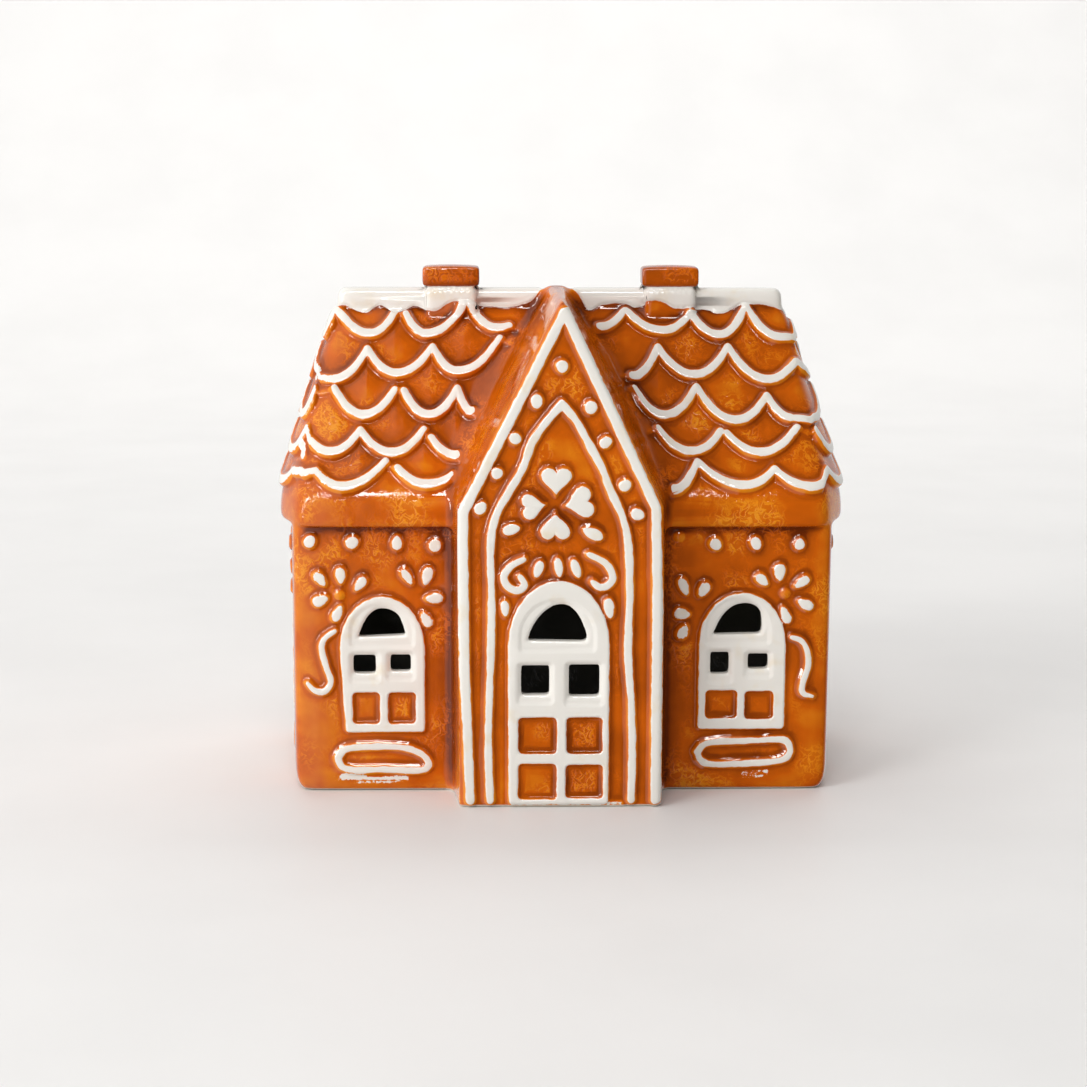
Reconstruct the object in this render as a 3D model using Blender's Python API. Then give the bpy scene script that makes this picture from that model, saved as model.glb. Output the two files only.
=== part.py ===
"""A gingerbread house made as one hollow piece of glazed ceramic, open underneath.

The walls, the hipped roof, the tall front porch, the chimneys, the snow on the ridge and all the
icing relief are one solid. Sizes are in millimetres in the house's own frame: X runs along the
front, Y runs from the front to the back with 0 under the ridge, and Z is up from the table.
"""

import itertools
import math

import bmesh
import bpy
from mathutils import Vector

MM = 0.001

# How far one solid reaches into the next, and how far a cutter reaches past what it cuts
OVERLAP = 1.0
CUT_PAST = 2.0

# Walls: half sizes at the corners, and how far the sides bulge at mid depth
WALL_HALF_WIDTH = 77.2
WALL_HALF_DEPTH = 37.7
WALL_TOP = 79.3
WALL_BULGE = 2.5
SIDE_FLAT = 27.0
CORNER = 2.3
FOOT_ROUND = 1.2
SHELL = 4.2

# Eaves and roof
EAVE_HALF_WIDTH = 77.0
EAVE_HALF_DEPTH = 40.7
EAVE_BULGE = 6.1
EAVE_FLAT = 25.0
EAVE_TOP = 87.6
RIDGE_HALF_LENGTH = 66.8
RIDGE_HALF_DEPTH = 0.8
RIDGE_TOP = 141.4
ROOF_SHELL = 4.6

# Front porch: its gable is sharp in front and grows wider and blunter towards the ridge
PORCH_X = -1.2
PORCH_FRONT = 53.9
PORCH_HALF_WIDTH = 28.9
PORCH_SHOULDER = 87.6
PORCH_APEX = 146.0
PORCH_FLARE = 6.4
PORCH_NOSE = 0.5
PORCH_BACK_NOSE = 2.2
GABLE_SLOPE = (PORCH_APEX - PORCH_SHOULDER) / PORCH_HALF_WIDTH

# Chimneys and the snow along the ridge
CHIMNEY_X = 32.7
STEM_HALF = (7.0, 4.2, 7.0)
BAND_HALF = (8.6, 5.1)
BAND_BOTTOM = 146.1
BAND_TOP = 151.6
BAND_ARCH = 0.6
ARCH_SHARE = 0.6
CHIMNEY_CHAMFER = 0.8
SNOW_HALF_LENGTH = 66.0
SNOW_HALF_DEPTH = 3.3
SNOW_TOP = 145.5
SNOW_ROOT = 6.0
SNOW_CHAMFER = 1.6
SNOW_EDGE = 64.8
SNOW_WAVE = 1.5
SNOW_PITCH = 14.6
SNOW_STEPS = 4
SNOW_BACK = 67.0

# Icing relief
SINK = 0.7
LINE_WIDTH = 2.1
LINE_HEIGHT = 1.1
LINE_FLARE = 0.15
LINE_CREST = 0.32
SHARPEST_BEND = 0.6
BLOB_SHRINK = 0.6
DOT_RADIUS = 1.95
DOT_SIDES = 7
PETAL_HALF = (1.75, 2.6)
PETAL_SIDES = 7

# Scalloped shingles: the lowest point of each row, measured up the slope from the eave
SCALLOP_BOTTOMS = (4.0, 14.4, 27.3, 40.8, 55.7)
SCALLOP_PITCH = 19.4
SCALLOP_DEPTH = 10.0
SCALLOP_POWER = 1.8
SCALLOP_STEPS = 5
SCALLOP_SHORTEST = 0.3
SCALLOP_TESTS = 40
PORCH_CLEARANCE = 4.0

# Arched windows and door: half width, sill, spring line and rise of the outer arch
WINDOW_X = 52.7
WINDOW = {"half": 12.5, "sill": 18.8, "spring": 44.0, "rise": 15.2}
WINDOW_FAN = {"half": 6.9, "sill": 47.4, "rise": 8.4}
WINDOW_LIGHT = {"u": 5.3, "v": 38.9, "half": (2.8, 2.6)}
WINDOW_PANES = {"u": 5.2, "half": (4.1, 5.0), "v": (25.7,)}
DOOR = {"half": 14.9, "sill": 0.9, "spring": 48.0, "rise": 18.0}
DOOR_FAN = {"half": 8.05, "sill": 50.0, "rise": 9.8}
DOOR_LIGHT = {"u": 6.8, "v": 37.7, "half": (3.95, 4.15)}
DOOR_PANES = {"u": 6.4, "half": (5.2, 5.5), "v": (21.2, 7.5)}
PLATE_HEIGHT = 1.0
PLATE_SHRINK = 0.35
PANE_DEPTH = 0.5
ARCH_STEPS = 10

# Window boxes, flowers and scrolls of the wings, measured from the window's middle
BOX_MIDDLE = 10.6
BOX_HALF = (13.4, 3.2)
BOX_CORNER = 2.9
BOX_WIDTH = 1.8
END_DOTS = {"each_side": 2, "step": 6.15, "v": 72.8}
FLOWER_OUTER = {"u": 12.0, "v": 59.3, "radius": 6.1, "from": -12.0, "step": 56.0, "count": 5}
FLOWER_INNER = {"u": -11.2, "v": 57.4, "radius": 6.3, "from": 64.0, "step": 59.0, "count": 4}
SCROLL = ((13.7, 48.0), (17.4, 44.3), (16.8, 38.2), (15.0, 32.6), (17.6, 30.0), (20.8, 32.2))
EAVE_DOTS = {"first": 35.4, "step": 12.3, "count": 4, "v": 74.8}

# Ornaments of the porch front, measured from the porch's middle
TRIM_WIDTH = 2.5
TRIM_INSET = 0.5
TRIM_LEAN = 1.2
TRIM_FOOT = 0.8
INNER_HALF = 20.3
INNER_BEND = ((20.3, 74.0), (19.4, 81.0), (17.4, 87.0))
INNER_APEX = 117.4
GABLE_DOTS = ((0.0, 127.6), (7.6, 117.0), (12.8, 106.8), (18.0, 96.0), (22.0, 86.6))
HEART_MIDDLE = (-1.3, 88.3)
HEART_REACH = 6.4
HEART_SIZE = 4.2
HEART_STEPS = 12
HEART_SHRINK = 0.5
DOOR_SCROLL = ((9.6, 73.4), (15.6, 68.8), (12.6, 64.0), (9.4, 65.6), (11.4, 68.6))
ORNAMENT_SHIFT = -0.8
TEAR_HALF = (1.4, 2.4)
DOOR_TEARS = ((-5.4, 70.2, 12.0), (-0.4, 70.2, 0.0), (4.4, 70.2, -12.0))
DOOR_PETALS = ((14.8, 58.3, 8.0), (12.4, 81.0, -62.0))


class Face:
    """A flat face of the house that takes relief, with its own across, up and outward directions."""

    def __init__(self, origin, across, up):
        self.origin = Vector(origin)
        self.across = Vector(across).normalized()
        self.up = Vector(up).normalized()
        self.out = self.across.cross(self.up).normalized()

    def at(self, u, v, height=0.0):
        return self.origin + self.across * u + self.up * v + self.out * height

    def inside(self, corners):
        """A test of whether a place on this face lies within the triangle or quad of corners."""
        offsets = [Vector(corner) - self.origin for corner in corners]
        flat = [(offset.dot(self.across), offset.dot(self.up)) for offset in offsets]
        sides = list(zip(flat, flat[1:] + flat[:1]))

        def test(u, v):
            return all((b[0] - a[0]) * (v - a[1]) >= (b[1] - a[1]) * (u - a[0]) for a, b in sides)

        return test


def clear_scene():
    for item in list(bpy.data.objects):
        bpy.data.objects.remove(item)


def collection(name):
    group = bpy.data.collections.new(name)
    bpy.context.scene.collection.children.link(group)
    return group


def add_object(name, mesh, group):
    """Turns a bmesh in millimetres into an object in metres."""
    bmesh.ops.scale(mesh, vec=(MM, MM, MM), verts=mesh.verts)
    bmesh.ops.recalc_face_normals(mesh, faces=mesh.faces)
    data = bpy.data.meshes.new(name)
    mesh.to_mesh(data)
    mesh.free()
    item = bpy.data.objects.new(name, data)
    group.objects.link(item)
    return item


def hull(name, points, group):
    """The convex solid round the points."""
    mesh = bmesh.new()
    for point in points:
        mesh.verts.new(point)
    bmesh.ops.convex_hull(mesh, input=mesh.verts)
    bmesh.ops.dissolve_limit(mesh, angle_limit=math.radians(0.05), verts=mesh.verts, edges=mesh.edges)
    return add_object(name, mesh, group)


def loft(name, rings, group, closed=False):
    """A solid through rings of points, capped at both ends, or joined end to end if it is closed."""
    mesh = bmesh.new()
    made = [[mesh.verts.new(point) for point in ring] for ring in rings]
    count = len(made[0])
    for low, high in zip(made, made[1:] + made[:1] if closed else made[1:]):
        for i in range(count):
            j = (i + 1) % count
            mesh.faces.new((low[i], low[j], high[j], high[i]))
    if not closed:
        mesh.faces.new(made[0])
        mesh.faces.new(made[-1])
    return add_object(name, mesh, group)


def plan(half_width, half_depth, bulge, flat, height, corner=CORNER):
    """The outline of a storey at one height: rounded corners, and ends that stand out where flat."""
    points = []
    for side, end in ((1, 1), (-1, 1), (-1, -1), (1, -1)):
        for step in range(3):
            angle = math.radians(45 * step)
            u = half_width - corner + corner * math.sin(angle)
            v = half_depth - corner + corner * math.cos(angle)
            points.append((side * u, end * v, height))
        points.append((side * (half_width + bulge), end * flat, height))
    return points


def outline_of(name, group, pieces):
    """Puts several plans into one convex solid."""
    return hull(name, [point for piece in pieces for point in piece], group)


def walls(group):
    rings = [
        plan(WALL_HALF_WIDTH - FOOT_ROUND, WALL_HALF_DEPTH - FOOT_ROUND, WALL_BULGE, SIDE_FLAT, 0.0),
        plan(WALL_HALF_WIDTH, WALL_HALF_DEPTH, WALL_BULGE, SIDE_FLAT, 2 * FOOT_ROUND),
        plan(WALL_HALF_WIDTH, WALL_HALF_DEPTH, WALL_BULGE, SIDE_FLAT, WALL_TOP + OVERLAP),
    ]
    return outline_of("walls", group, rings)


def ridge(half_length, half_depth, height):
    return [(x, y, height) for x in (-half_length, half_length) for y in (-half_depth, half_depth)]


def roof(group):
    low = plan(EAVE_HALF_WIDTH, EAVE_HALF_DEPTH, EAVE_BULGE, EAVE_FLAT, WALL_TOP)
    high = plan(EAVE_HALF_WIDTH, EAVE_HALF_DEPTH, EAVE_BULGE, EAVE_FLAT, EAVE_TOP)
    outline_of("roof", group, [low, high, ridge(RIDGE_HALF_LENGTH, RIDGE_HALF_DEPTH, RIDGE_TOP)])


def porch_section(y, half_width, nose, inset=0.0):
    """The porch's cross-section: two walls, two shoulders and a peak that may be blunt."""
    peak = PORCH_APEX - inset * math.hypot(1, GABLE_SLOPE)
    side = half_width - inset
    shoulder = peak - (side - nose) * GABLE_SLOPE if inset else PORCH_SHOULDER
    bottom = -OVERLAP if inset else 0.0
    left = [(-side, bottom), (-side, shoulder), (-nose, peak)]
    return [(PORCH_X + u, y, v) for u, v in left + [(-a, b) for a, b in left]]


def porch(group):
    front = porch_section(-PORCH_FRONT, PORCH_HALF_WIDTH, PORCH_NOSE)
    back = porch_section(0.0, PORCH_HALF_WIDTH + PORCH_FLARE, PORCH_BACK_NOSE)
    hull("porch", front + back, group)


def box(name, middle, half, group, chamfer=CHIMNEY_CHAMFER):
    """A block with its edges cut off at the chamfer."""
    points = []
    for axis in range(3):
        cut = [half[i] - (0.0 if i == axis else chamfer) for i in range(3)]
        for signs in itertools.product((-1, 1), repeat=3):
            points.append([middle[i] + signs[i] * cut[i] for i in range(3)])
    return hull(name, points, group)


def chimneys(group):
    for side in (-1, 1):
        x = side * CHIMNEY_X
        box(f"stem {side}", (x, 0, BAND_BOTTOM + OVERLAP - STEM_HALF[2]), STEM_HALF, group)
        rise = (BAND_TOP - BAND_BOTTOM) / 2
        band = (BAND_HALF[0], BAND_HALF[1], rise)
        box(f"band {side}", (x, 0, BAND_BOTTOM + rise), band, group)
        arch = (BAND_HALF[0] * ARCH_SHARE, BAND_HALF[1] * ARCH_SHARE, rise)
        box(f"arch {side}", (x, 0, BAND_BOTTOM + rise + BAND_ARCH), arch, group)


def snow(group, slopes):
    """The snow cap: a bar along the ridge, and a wavy edge that hangs down each slope."""
    bottom = RIDGE_TOP - SNOW_ROOT
    middle = (0, 0, (SNOW_TOP + bottom) / 2)
    half = (SNOW_HALF_LENGTH, SNOW_HALF_DEPTH, (SNOW_TOP - bottom) / 2)
    box("snow", middle, half, group, SNOW_CHAMFER)
    steps = round(2 * SNOW_HALF_LENGTH / SNOW_PITCH * SNOW_STEPS)
    for number, face in enumerate(slopes):
        edge = []
        for step in range(steps + 1):
            u = -SNOW_HALF_LENGTH + 2 * SNOW_HALF_LENGTH * step / steps
            edge.append((u, SNOW_EDGE + SNOW_WAVE * math.cos(math.tau * u / SNOW_PITCH + number)))
        top = [(SNOW_HALF_LENGTH, SNOW_BACK), (-SNOW_HALF_LENGTH, SNOW_BACK)]
        blob(f"drip {number}", face, edge + top, LINE_HEIGHT, group, PLATE_SHRINK)


def directions(points, closed):
    """The unit vector across the line at each of its points, lengthened where the line bends."""
    found = []
    count = len(points)
    for i, point in enumerate(points):
        before = points[i - 1] if i or closed else point
        after = points[(i + 1) % count] if i < count - 1 or closed else point
        first = Vector(point) - Vector(before)
        second = Vector(after) - Vector(point)
        ends = [run.normalized() for run in (first, second) if run.length > 1e-6]
        along = sum(ends, Vector((0, 0))).normalized()
        bend = max(SHARPEST_BEND, along.dot(ends[0]))
        found.append(Vector((-along.y, along.x)) / bend)
    return found


def stroke(name, face, points, group, width=LINE_WIDTH, height=LINE_HEIGHT, closed=False):
    """A raised line of icing along the points of a face, wide at its foot and narrow on top."""
    rings = []
    foot = width / 2 + LINE_FLARE
    crest = width * LINE_CREST
    for point, across in zip(points, directions(points, closed)):
        here = Vector(point)
        section = [(foot, -SINK), (crest, height), (-crest, height), (-foot, -SINK)]
        rings.append([face.at(*(here + across * side), rise) for side, rise in section])
    return loft(name, rings, group, closed)


def blob(name, face, outline, height, group, shrink=BLOB_SHRINK):
    """A raised patch of icing: the outline at its foot, and the same outline shrunk on top."""
    inward = directions(outline, True)
    area = sum(a[0] * b[1] - a[1] * b[0] for a, b in zip(outline, outline[1:] + outline[:1]))
    turn = 1 if area > 0 else -1
    foot = [face.at(*point, -SINK) for point in outline]
    top = [face.at(*(Vector(point) + step * turn * shrink), height) for point, step in zip(outline, inward)]
    return loft(name, [foot, top], group)


def ellipse(u, v, half, tilt=0.0, sides=PETAL_SIDES):
    """The outline of an oval, its second half size along the tilted up direction."""
    cos, sin = math.cos(math.radians(tilt)), math.sin(math.radians(tilt))
    points = []
    for step in range(sides):
        angle = math.tau * (step + 0.5) / sides
        a, b = half[0] * math.cos(angle), half[1] * math.sin(angle)
        points.append((u + a * cos - b * sin, v + a * sin + b * cos))
    return points


def dot(name, face, u, v, group):
    blob(name, face, ellipse(u, v, (DOT_RADIUS, DOT_RADIUS), sides=DOT_SIDES), LINE_HEIGHT, group)


def arch_outline(middle, shape, steps=ARCH_STEPS):
    """An opening with straight jambs and a half-ellipse head. Without a spring line it is all head."""
    spring = shape.get("spring", shape["sill"])
    points = [(middle + shape["half"], shape["sill"])] if spring > shape["sill"] else []
    for step in range(steps + 1):
        angle = math.pi * step / steps
        points.append((middle + shape["half"] * math.cos(angle), spring + shape["rise"] * math.sin(angle)))
    if spring > shape["sill"]:
        points.append((middle - shape["half"], shape["sill"]))
    return points


def rectangle(u, v, half):
    return [(u + a * half[0], v + b * half[1]) for a, b in ((1, -1), (1, 1), (-1, 1), (-1, -1))]


def pocket(name, face, outline, depth, group):
    """A cutter that sinks the outline into the face to the depth."""
    rings = [[face.at(*point, height) for point in outline] for height in (PLATE_HEIGHT + CUT_PAST, -depth)]
    return loft(name, rings, group)


def opening(name, face, middle, frame, fan, light, panes, group, cutters, pierced=True):
    """An arched window or door: a raised plate, sunk panes below, and above them holes where pierced."""
    blob(f"{name} frame", face, arch_outline(middle, frame), PLATE_HEIGHT, group, PLATE_SHRINK)
    through = SHELL + WALL_BULGE + CUT_PAST if pierced else PANE_DEPTH
    pocket(f"{name} fan", face, arch_outline(middle, fan), through, cutters)
    for side in (-1, 1):
        spot = rectangle(middle + side * light["u"], light["v"], light["half"])
        pocket(f"{name} light {side}", face, spot, through, cutters)
        for row, v in enumerate(panes["v"]):
            spot = rectangle(middle + side * panes["u"], v, panes["half"])
            pocket(f"{name} pane {side} {row}", face, spot, PANE_DEPTH, cutters)


def rounded_box(middle, v, half, corner):
    """A rounded rectangle, three points to each corner."""
    points = []
    for a, b, start in ((1, 1, 0), (-1, 1, 90), (-1, -1, 180), (1, -1, 270)):
        for step in range(3):
            angle = math.radians(start + 45 * step)
            u = a * (half[0] - corner) + corner * math.cos(angle)
            w = b * (half[1] - corner) + corner * math.sin(angle)
            points.append((middle + u, v + w))
    return points


def curve_through(points, steps):
    """A smooth line through the points, with the given steps between each pair."""
    ends = [points[0]] + list(points) + [points[-1]]
    made = []
    for a, b, c, d in zip(ends, ends[1:], ends[2:], ends[3:]):
        for step in range(steps):
            t = step / steps
            made.append(
                tuple(
                    0.5 * (2 * b[i] + (c[i] - a[i]) * t + (2 * a[i] - 5 * b[i] + 4 * c[i] - d[i]) * t * t
                           + (3 * b[i] - a[i] - 3 * c[i] + d[i]) * t ** 3)
                    for i in range(2)
                )
            )
    return made + [tuple(points[-1])]


def flower(name, face, middle, side, shape, group):
    """Petals of icing round a point beside the window's head."""
    u0 = middle + side * shape["u"]
    for petal in range(shape["count"]):
        degrees = shape["from"] + shape["step"] * petal
        angle = math.radians(degrees)
        u = u0 + side * shape["radius"] * math.cos(angle)
        v = shape["v"] + shape["radius"] * math.sin(angle)
        tilt = side * (degrees - 90)
        blob(f"{name} petal {petal}", face, ellipse(u, v, PETAL_HALF, tilt), LINE_HEIGHT, group)


def wing(name, face, side, group, cutters, pierced):
    """One bay beside the middle of a long wall: window, window box, flowers, scroll and dots."""
    middle = side * WINDOW_X
    opening(name, face, middle, WINDOW, WINDOW_FAN, WINDOW_LIGHT, WINDOW_PANES, group, cutters, pierced)
    box_line = rounded_box(middle, BOX_MIDDLE, BOX_HALF, BOX_CORNER)
    stroke(f"{name} box", face, box_line, group, BOX_WIDTH, closed=True)
    flower(f"{name} outer", face, middle, side, FLOWER_OUTER, group)
    flower(f"{name} inner", face, middle, side, FLOWER_INNER, group)
    scroll = [(middle + side * u, v) for u, v in SCROLL]
    stroke(f"{name} scroll", face, curve_through(scroll, 2), group, BOX_WIDTH)
    for count in range(EAVE_DOTS["count"]):
        u = side * (EAVE_DOTS["first"] + EAVE_DOTS["step"] * count)
        dot(f"{name} dot {count}", face, u, EAVE_DOTS["v"], group)


def heart(u, v, tilt):
    """The outline of a heart, by the usual sine and cosine curve, its point down before the tilt."""
    cos, sin = math.cos(math.radians(tilt)), math.sin(math.radians(tilt))
    points = []
    for step in range(HEART_STEPS):
        t = math.tau * step / HEART_STEPS
        a = HEART_SIZE * math.sin(t) ** 3
        b = HEART_SIZE * (13 * math.cos(t) - 5 * math.cos(2 * t) - 2 * math.cos(3 * t) - math.cos(4 * t)) / 16
        points.append((u + a * cos - b * sin, v + a * sin + b * cos))
    return points


def hearts(name, face, middle, v, group):
    """Four hearts whose points meet."""
    for turn in range(4):
        angle = math.radians(90 * turn + 90)
        spot = (middle + HEART_REACH * math.cos(angle), v + HEART_REACH * math.sin(angle))
        blob(f"{name} heart {turn}", face, heart(*spot, 90 * turn), LINE_HEIGHT, group, HEART_SHRINK)


def porch_front(face, group, cutters):
    """The tall gable: door, trim along the edges, pointed inner line, hearts, scrolls and dots."""
    opening("door", face, 0.0, DOOR, DOOR_FAN, DOOR_LIGHT, DOOR_PANES, group, cutters)
    inset = TRIM_INSET + TRIM_WIDTH / 2
    edge = PORCH_HALF_WIDTH - inset
    peak = PORCH_APEX - inset * math.hypot(1, GABLE_SLOPE)
    for side in (-1, 1):
        trim = [(side * (edge - TRIM_LEAN), TRIM_FOOT), (side * edge, PORCH_SHOULDER), (0.0, peak)]
        stroke(f"trim {side} low", face, trim[:2], group, width=TRIM_WIDTH)
        stroke(f"trim {side} high", face, trim[1:], group, width=TRIM_WIDTH)
        bend = [(side * u, v) for u, v in INNER_BEND]
        inner = [(side * INNER_HALF, TRIM_FOOT)] + bend + [(0.0, INNER_APEX)]
        stroke(f"inner {side}", face, inner, group)
        scroll = [(side * u + ORNAMENT_SHIFT, v) for u, v in DOOR_SCROLL]
        stroke(f"door scroll {side}", face, curve_through(scroll, 2), group, BOX_WIDTH)
        for number, (u, v, tilt) in enumerate(DOOR_PETALS):
            outline = ellipse(side * u + ORNAMENT_SHIFT, v, PETAL_HALF, side * tilt)
            blob(f"door petal {side} {number}", face, outline, LINE_HEIGHT, group)
    for number, (u, v, tilt) in enumerate(DOOR_TEARS):
        blob(f"tear {number}", face, ellipse(u, v, TEAR_HALF, tilt), LINE_HEIGHT, group, HEART_SHRINK)
    hearts("porch", face, *HEART_MIDDLE, group)
    for number, (u, v) in enumerate(GABLE_DOTS):
        for side in (-1, 1) if u else (1,):
            dot(f"gable dot {number} {side}", face, side * u, v, group)


def side_wall(name, face, group, cutters):
    """The end wall, finished like the bays of the front: one window, its box, flowers and dots."""
    opening(name, face, 0.0, WINDOW, WINDOW_FAN, WINDOW_LIGHT, WINDOW_PANES, group, cutters)
    box_line = rounded_box(0.0, BOX_MIDDLE, BOX_HALF, BOX_CORNER)
    stroke(f"{name} box", face, box_line, group, BOX_WIDTH, closed=True)
    for count in range(-END_DOTS["each_side"], END_DOTS["each_side"] + 1):
        dot(f"{name} dot {count}", face, count * END_DOTS["step"], END_DOTS["v"], group)


def scallop_arc(face, centre, bottom, inside, name, group):
    """One arc of shingle icing, as much of it as lies on the face."""

    def place(t):
        return centre + t * SCALLOP_PITCH / 2, bottom + SCALLOP_DEPTH * abs(t) ** SCALLOP_POWER

    fine = [2 * step / SCALLOP_TESTS - 1 for step in range(SCALLOP_TESTS + 1)]
    kept = [t for t in fine if inside(*place(t))]
    if not kept or kept[-1] - kept[0] < SCALLOP_SHORTEST:
        return
    steps = max(2, round(SCALLOP_STEPS * (kept[-1] - kept[0]) / 2))
    line = [place(kept[0] + (kept[-1] - kept[0]) * step / steps) for step in range(steps + 1)]
    stroke(name, face, line, group)


def scallops(name, face, inside, reach, phase, group):
    """Rows of scalloped shingles over one face of the roof, each row half a pitch from the last."""
    for row, bottom in enumerate(SCALLOP_BOTTOMS):
        shift = SCALLOP_PITCH / 2 * ((row + phase) % 2)
        count = math.ceil(reach / SCALLOP_PITCH)
        for number in range(-count, count + 1):
            centre = number * SCALLOP_PITCH + shift
            scallop_arc(face, centre, bottom, inside, f"{name} scallop {row} {number}", group)


def roof_faces():
    """The long slopes and the hipped ends, each with the test of what lies on it."""
    corner = (EAVE_HALF_WIDTH - CORNER, EAVE_HALF_DEPTH)
    top = (RIDGE_HALF_LENGTH, RIDGE_HALF_DEPTH)
    slopes = []
    for end in (-1, 1):
        rise = (0, end * (top[1] - corner[1]), RIDGE_TOP - EAVE_TOP)
        face = Face((0, end * corner[1], EAVE_TOP), (-end, 0, 0), rise)
        low = [(turn * end * corner[0], end * corner[1], EAVE_TOP) for turn in (1, -1)]
        high = [(turn * end * top[0], end * top[1], RIDGE_TOP) for turn in (-1, 1)]
        slopes.append((face, face.inside(low + high)))
    ends = []
    for side in (-1, 1):
        out = side * (EAVE_HALF_WIDTH + EAVE_BULGE)
        face = Face((out, 0, EAVE_TOP), (0, side, 0), (side * RIDGE_HALF_LENGTH - out, 0, RIDGE_TOP - EAVE_TOP))
        low = [(out, turn * side * EAVE_FLAT, EAVE_TOP) for turn in (-1, 1)]
        high = [(side * RIDGE_HALF_LENGTH, turn * side * RIDGE_HALF_DEPTH, RIDGE_TOP) for turn in (1, -1)]
        ends.append((face, face.inside(low + high)))
    return slopes, ends


def clear_of_porch(inside, side):
    """Keeps the front rows to one side of the porch roof."""

    def test(u, v):
        return inside(u, v) and side * (u - PORCH_X) > PORCH_CLEARANCE

    return test


def icing(group, cutters):
    front = Face((0, -WALL_HALF_DEPTH, 0), (1, 0, 0), (0, 0, 1))
    back = Face((0, WALL_HALF_DEPTH, 0), (-1, 0, 0), (0, 0, 1))
    for side in (-1, 1):
        wing(f"front {side}", front, side, group, cutters, True)
        wing(f"back {side}", back, side, group, cutters, False)
        reach = WALL_HALF_WIDTH + WALL_BULGE
        end = Face((side * reach, 0, 0), (0, side, 0), (0, 0, 1))
        side_wall(f"end {side}", end, group, cutters)
    hearts("back", back, 0.0, WALL_TOP / 2, group)
    porch_front(Face((PORCH_X, -PORCH_FRONT, 0), (1, 0, 0), (0, 0, 1)), group, cutters)
    slopes, ends = roof_faces()
    for side, phase in ((-1, 0), (1, 1)):
        inside = clear_of_porch(slopes[0][1], side)
        scallops(f"front {side}", slopes[0][0], inside, EAVE_HALF_WIDTH, phase, group)
    scallops("back", *slopes[1], EAVE_HALF_WIDTH, 0, group)
    for number, (face, inside) in enumerate(ends):
        scallops(f"end {number}", face, inside, EAVE_FLAT, 0, group)
    snow(group, [slope[0] for slope in slopes])


def cavity(group):
    """The hollow inside: the room under the roof, and the porch, both open underneath."""
    room = plan(WALL_HALF_WIDTH - SHELL, WALL_HALF_DEPTH - SHELL, 0.0, 0.0, -OVERLAP)
    slope = (RIDGE_TOP - EAVE_TOP) / (EAVE_HALF_DEPTH - RIDGE_HALF_DEPTH)
    peak = RIDGE_TOP - ROOF_SHELL * math.hypot(1, slope)
    knee = peak - (WALL_HALF_DEPTH - SHELL - RIDGE_HALF_DEPTH) * slope
    above = plan(WALL_HALF_WIDTH - SHELL, WALL_HALF_DEPTH - SHELL, 0.0, 0.0, knee)
    top = ridge(RIDGE_HALF_LENGTH - ROOF_SHELL, RIDGE_HALF_DEPTH, peak)
    outline_of("room", group, [room, above, top])
    front = porch_section(-PORCH_FRONT + SHELL, PORCH_HALF_WIDTH, PORCH_NOSE, SHELL)
    back = porch_section(-WALL_HALF_DEPTH + 2 * SHELL, PORCH_HALF_WIDTH, PORCH_NOSE, SHELL)
    hull("porch room", front + back, group)


def combine(target, group, operation):
    """Joins the collection to the target, or cuts it away, and removes the collection's objects.

    The exact solver leaves this many small crossing shapes open at the seams, so the one for
    closed shapes is used.
    """
    change = target.modifiers.new(operation.title(), "BOOLEAN")
    change.operation = operation
    change.operand_type = "COLLECTION"
    change.collection = group
    change.solver = "MANIFOLD"
    bpy.context.view_layer.objects.active = target
    bpy.ops.object.modifier_apply(modifier=change.name)
    for item in list(group.objects):
        bpy.data.objects.remove(item)
    bpy.data.collections.remove(group)


def centre_on_foot(target):
    """Puts the origin at the middle of the foot, under the middle of the whole house's box."""
    points = [vertex.co for vertex in target.data.vertices]
    low = [min(p[i] for p in points) for i in range(3)]
    high = [max(p[i] for p in points) for i in range(3)]
    shift = Vector(((low[0] + high[0]) / 2, (low[1] + high[1]) / 2, low[2]))
    for vertex in target.data.vertices:
        vertex.co -= shift


def ceramic():
    """Brown glaze over fired clay."""
    material = bpy.data.materials.new("glazed ceramic")
    material.use_nodes = True
    shader = material.node_tree.nodes["Principled BSDF"]
    shader.inputs["Base Color"].default_value = (0.36, 0.12, 0.02, 1.0)
    shader.inputs["Roughness"].default_value = 0.12
    shader.inputs["Metallic"].default_value = 0.0
    material.diffuse_color = (0.36, 0.12, 0.02, 1.0)
    return material


def main():
    clear_scene()
    added = collection("added")
    cutters = collection("cutters")
    house = walls(bpy.context.scene.collection)
    roof(added)
    porch(added)
    chimneys(added)
    icing(added, cutters)
    cavity(cutters)
    combine(house, added, "UNION")
    combine(house, cutters, "DIFFERENCE")
    centre_on_foot(house)
    house.name = "house"
    house.data.materials.append(ceramic())


main()
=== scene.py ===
"""The looks of a gingerbread house in glazed ceramic: brown glaze, with icing lines painted white.

The file is laid out as an add-on and runs as a script. The house's sizes are in millimetres in its
own frame: X runs along the front, Y from the front to the back with 0 under the ridge, Z up.
"""

import math
import random

import bmesh
import bpy
import numpy as np
from bpy.props import FloatProperty, FloatVectorProperty, IntProperty, PointerProperty
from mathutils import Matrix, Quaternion, Vector


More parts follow.
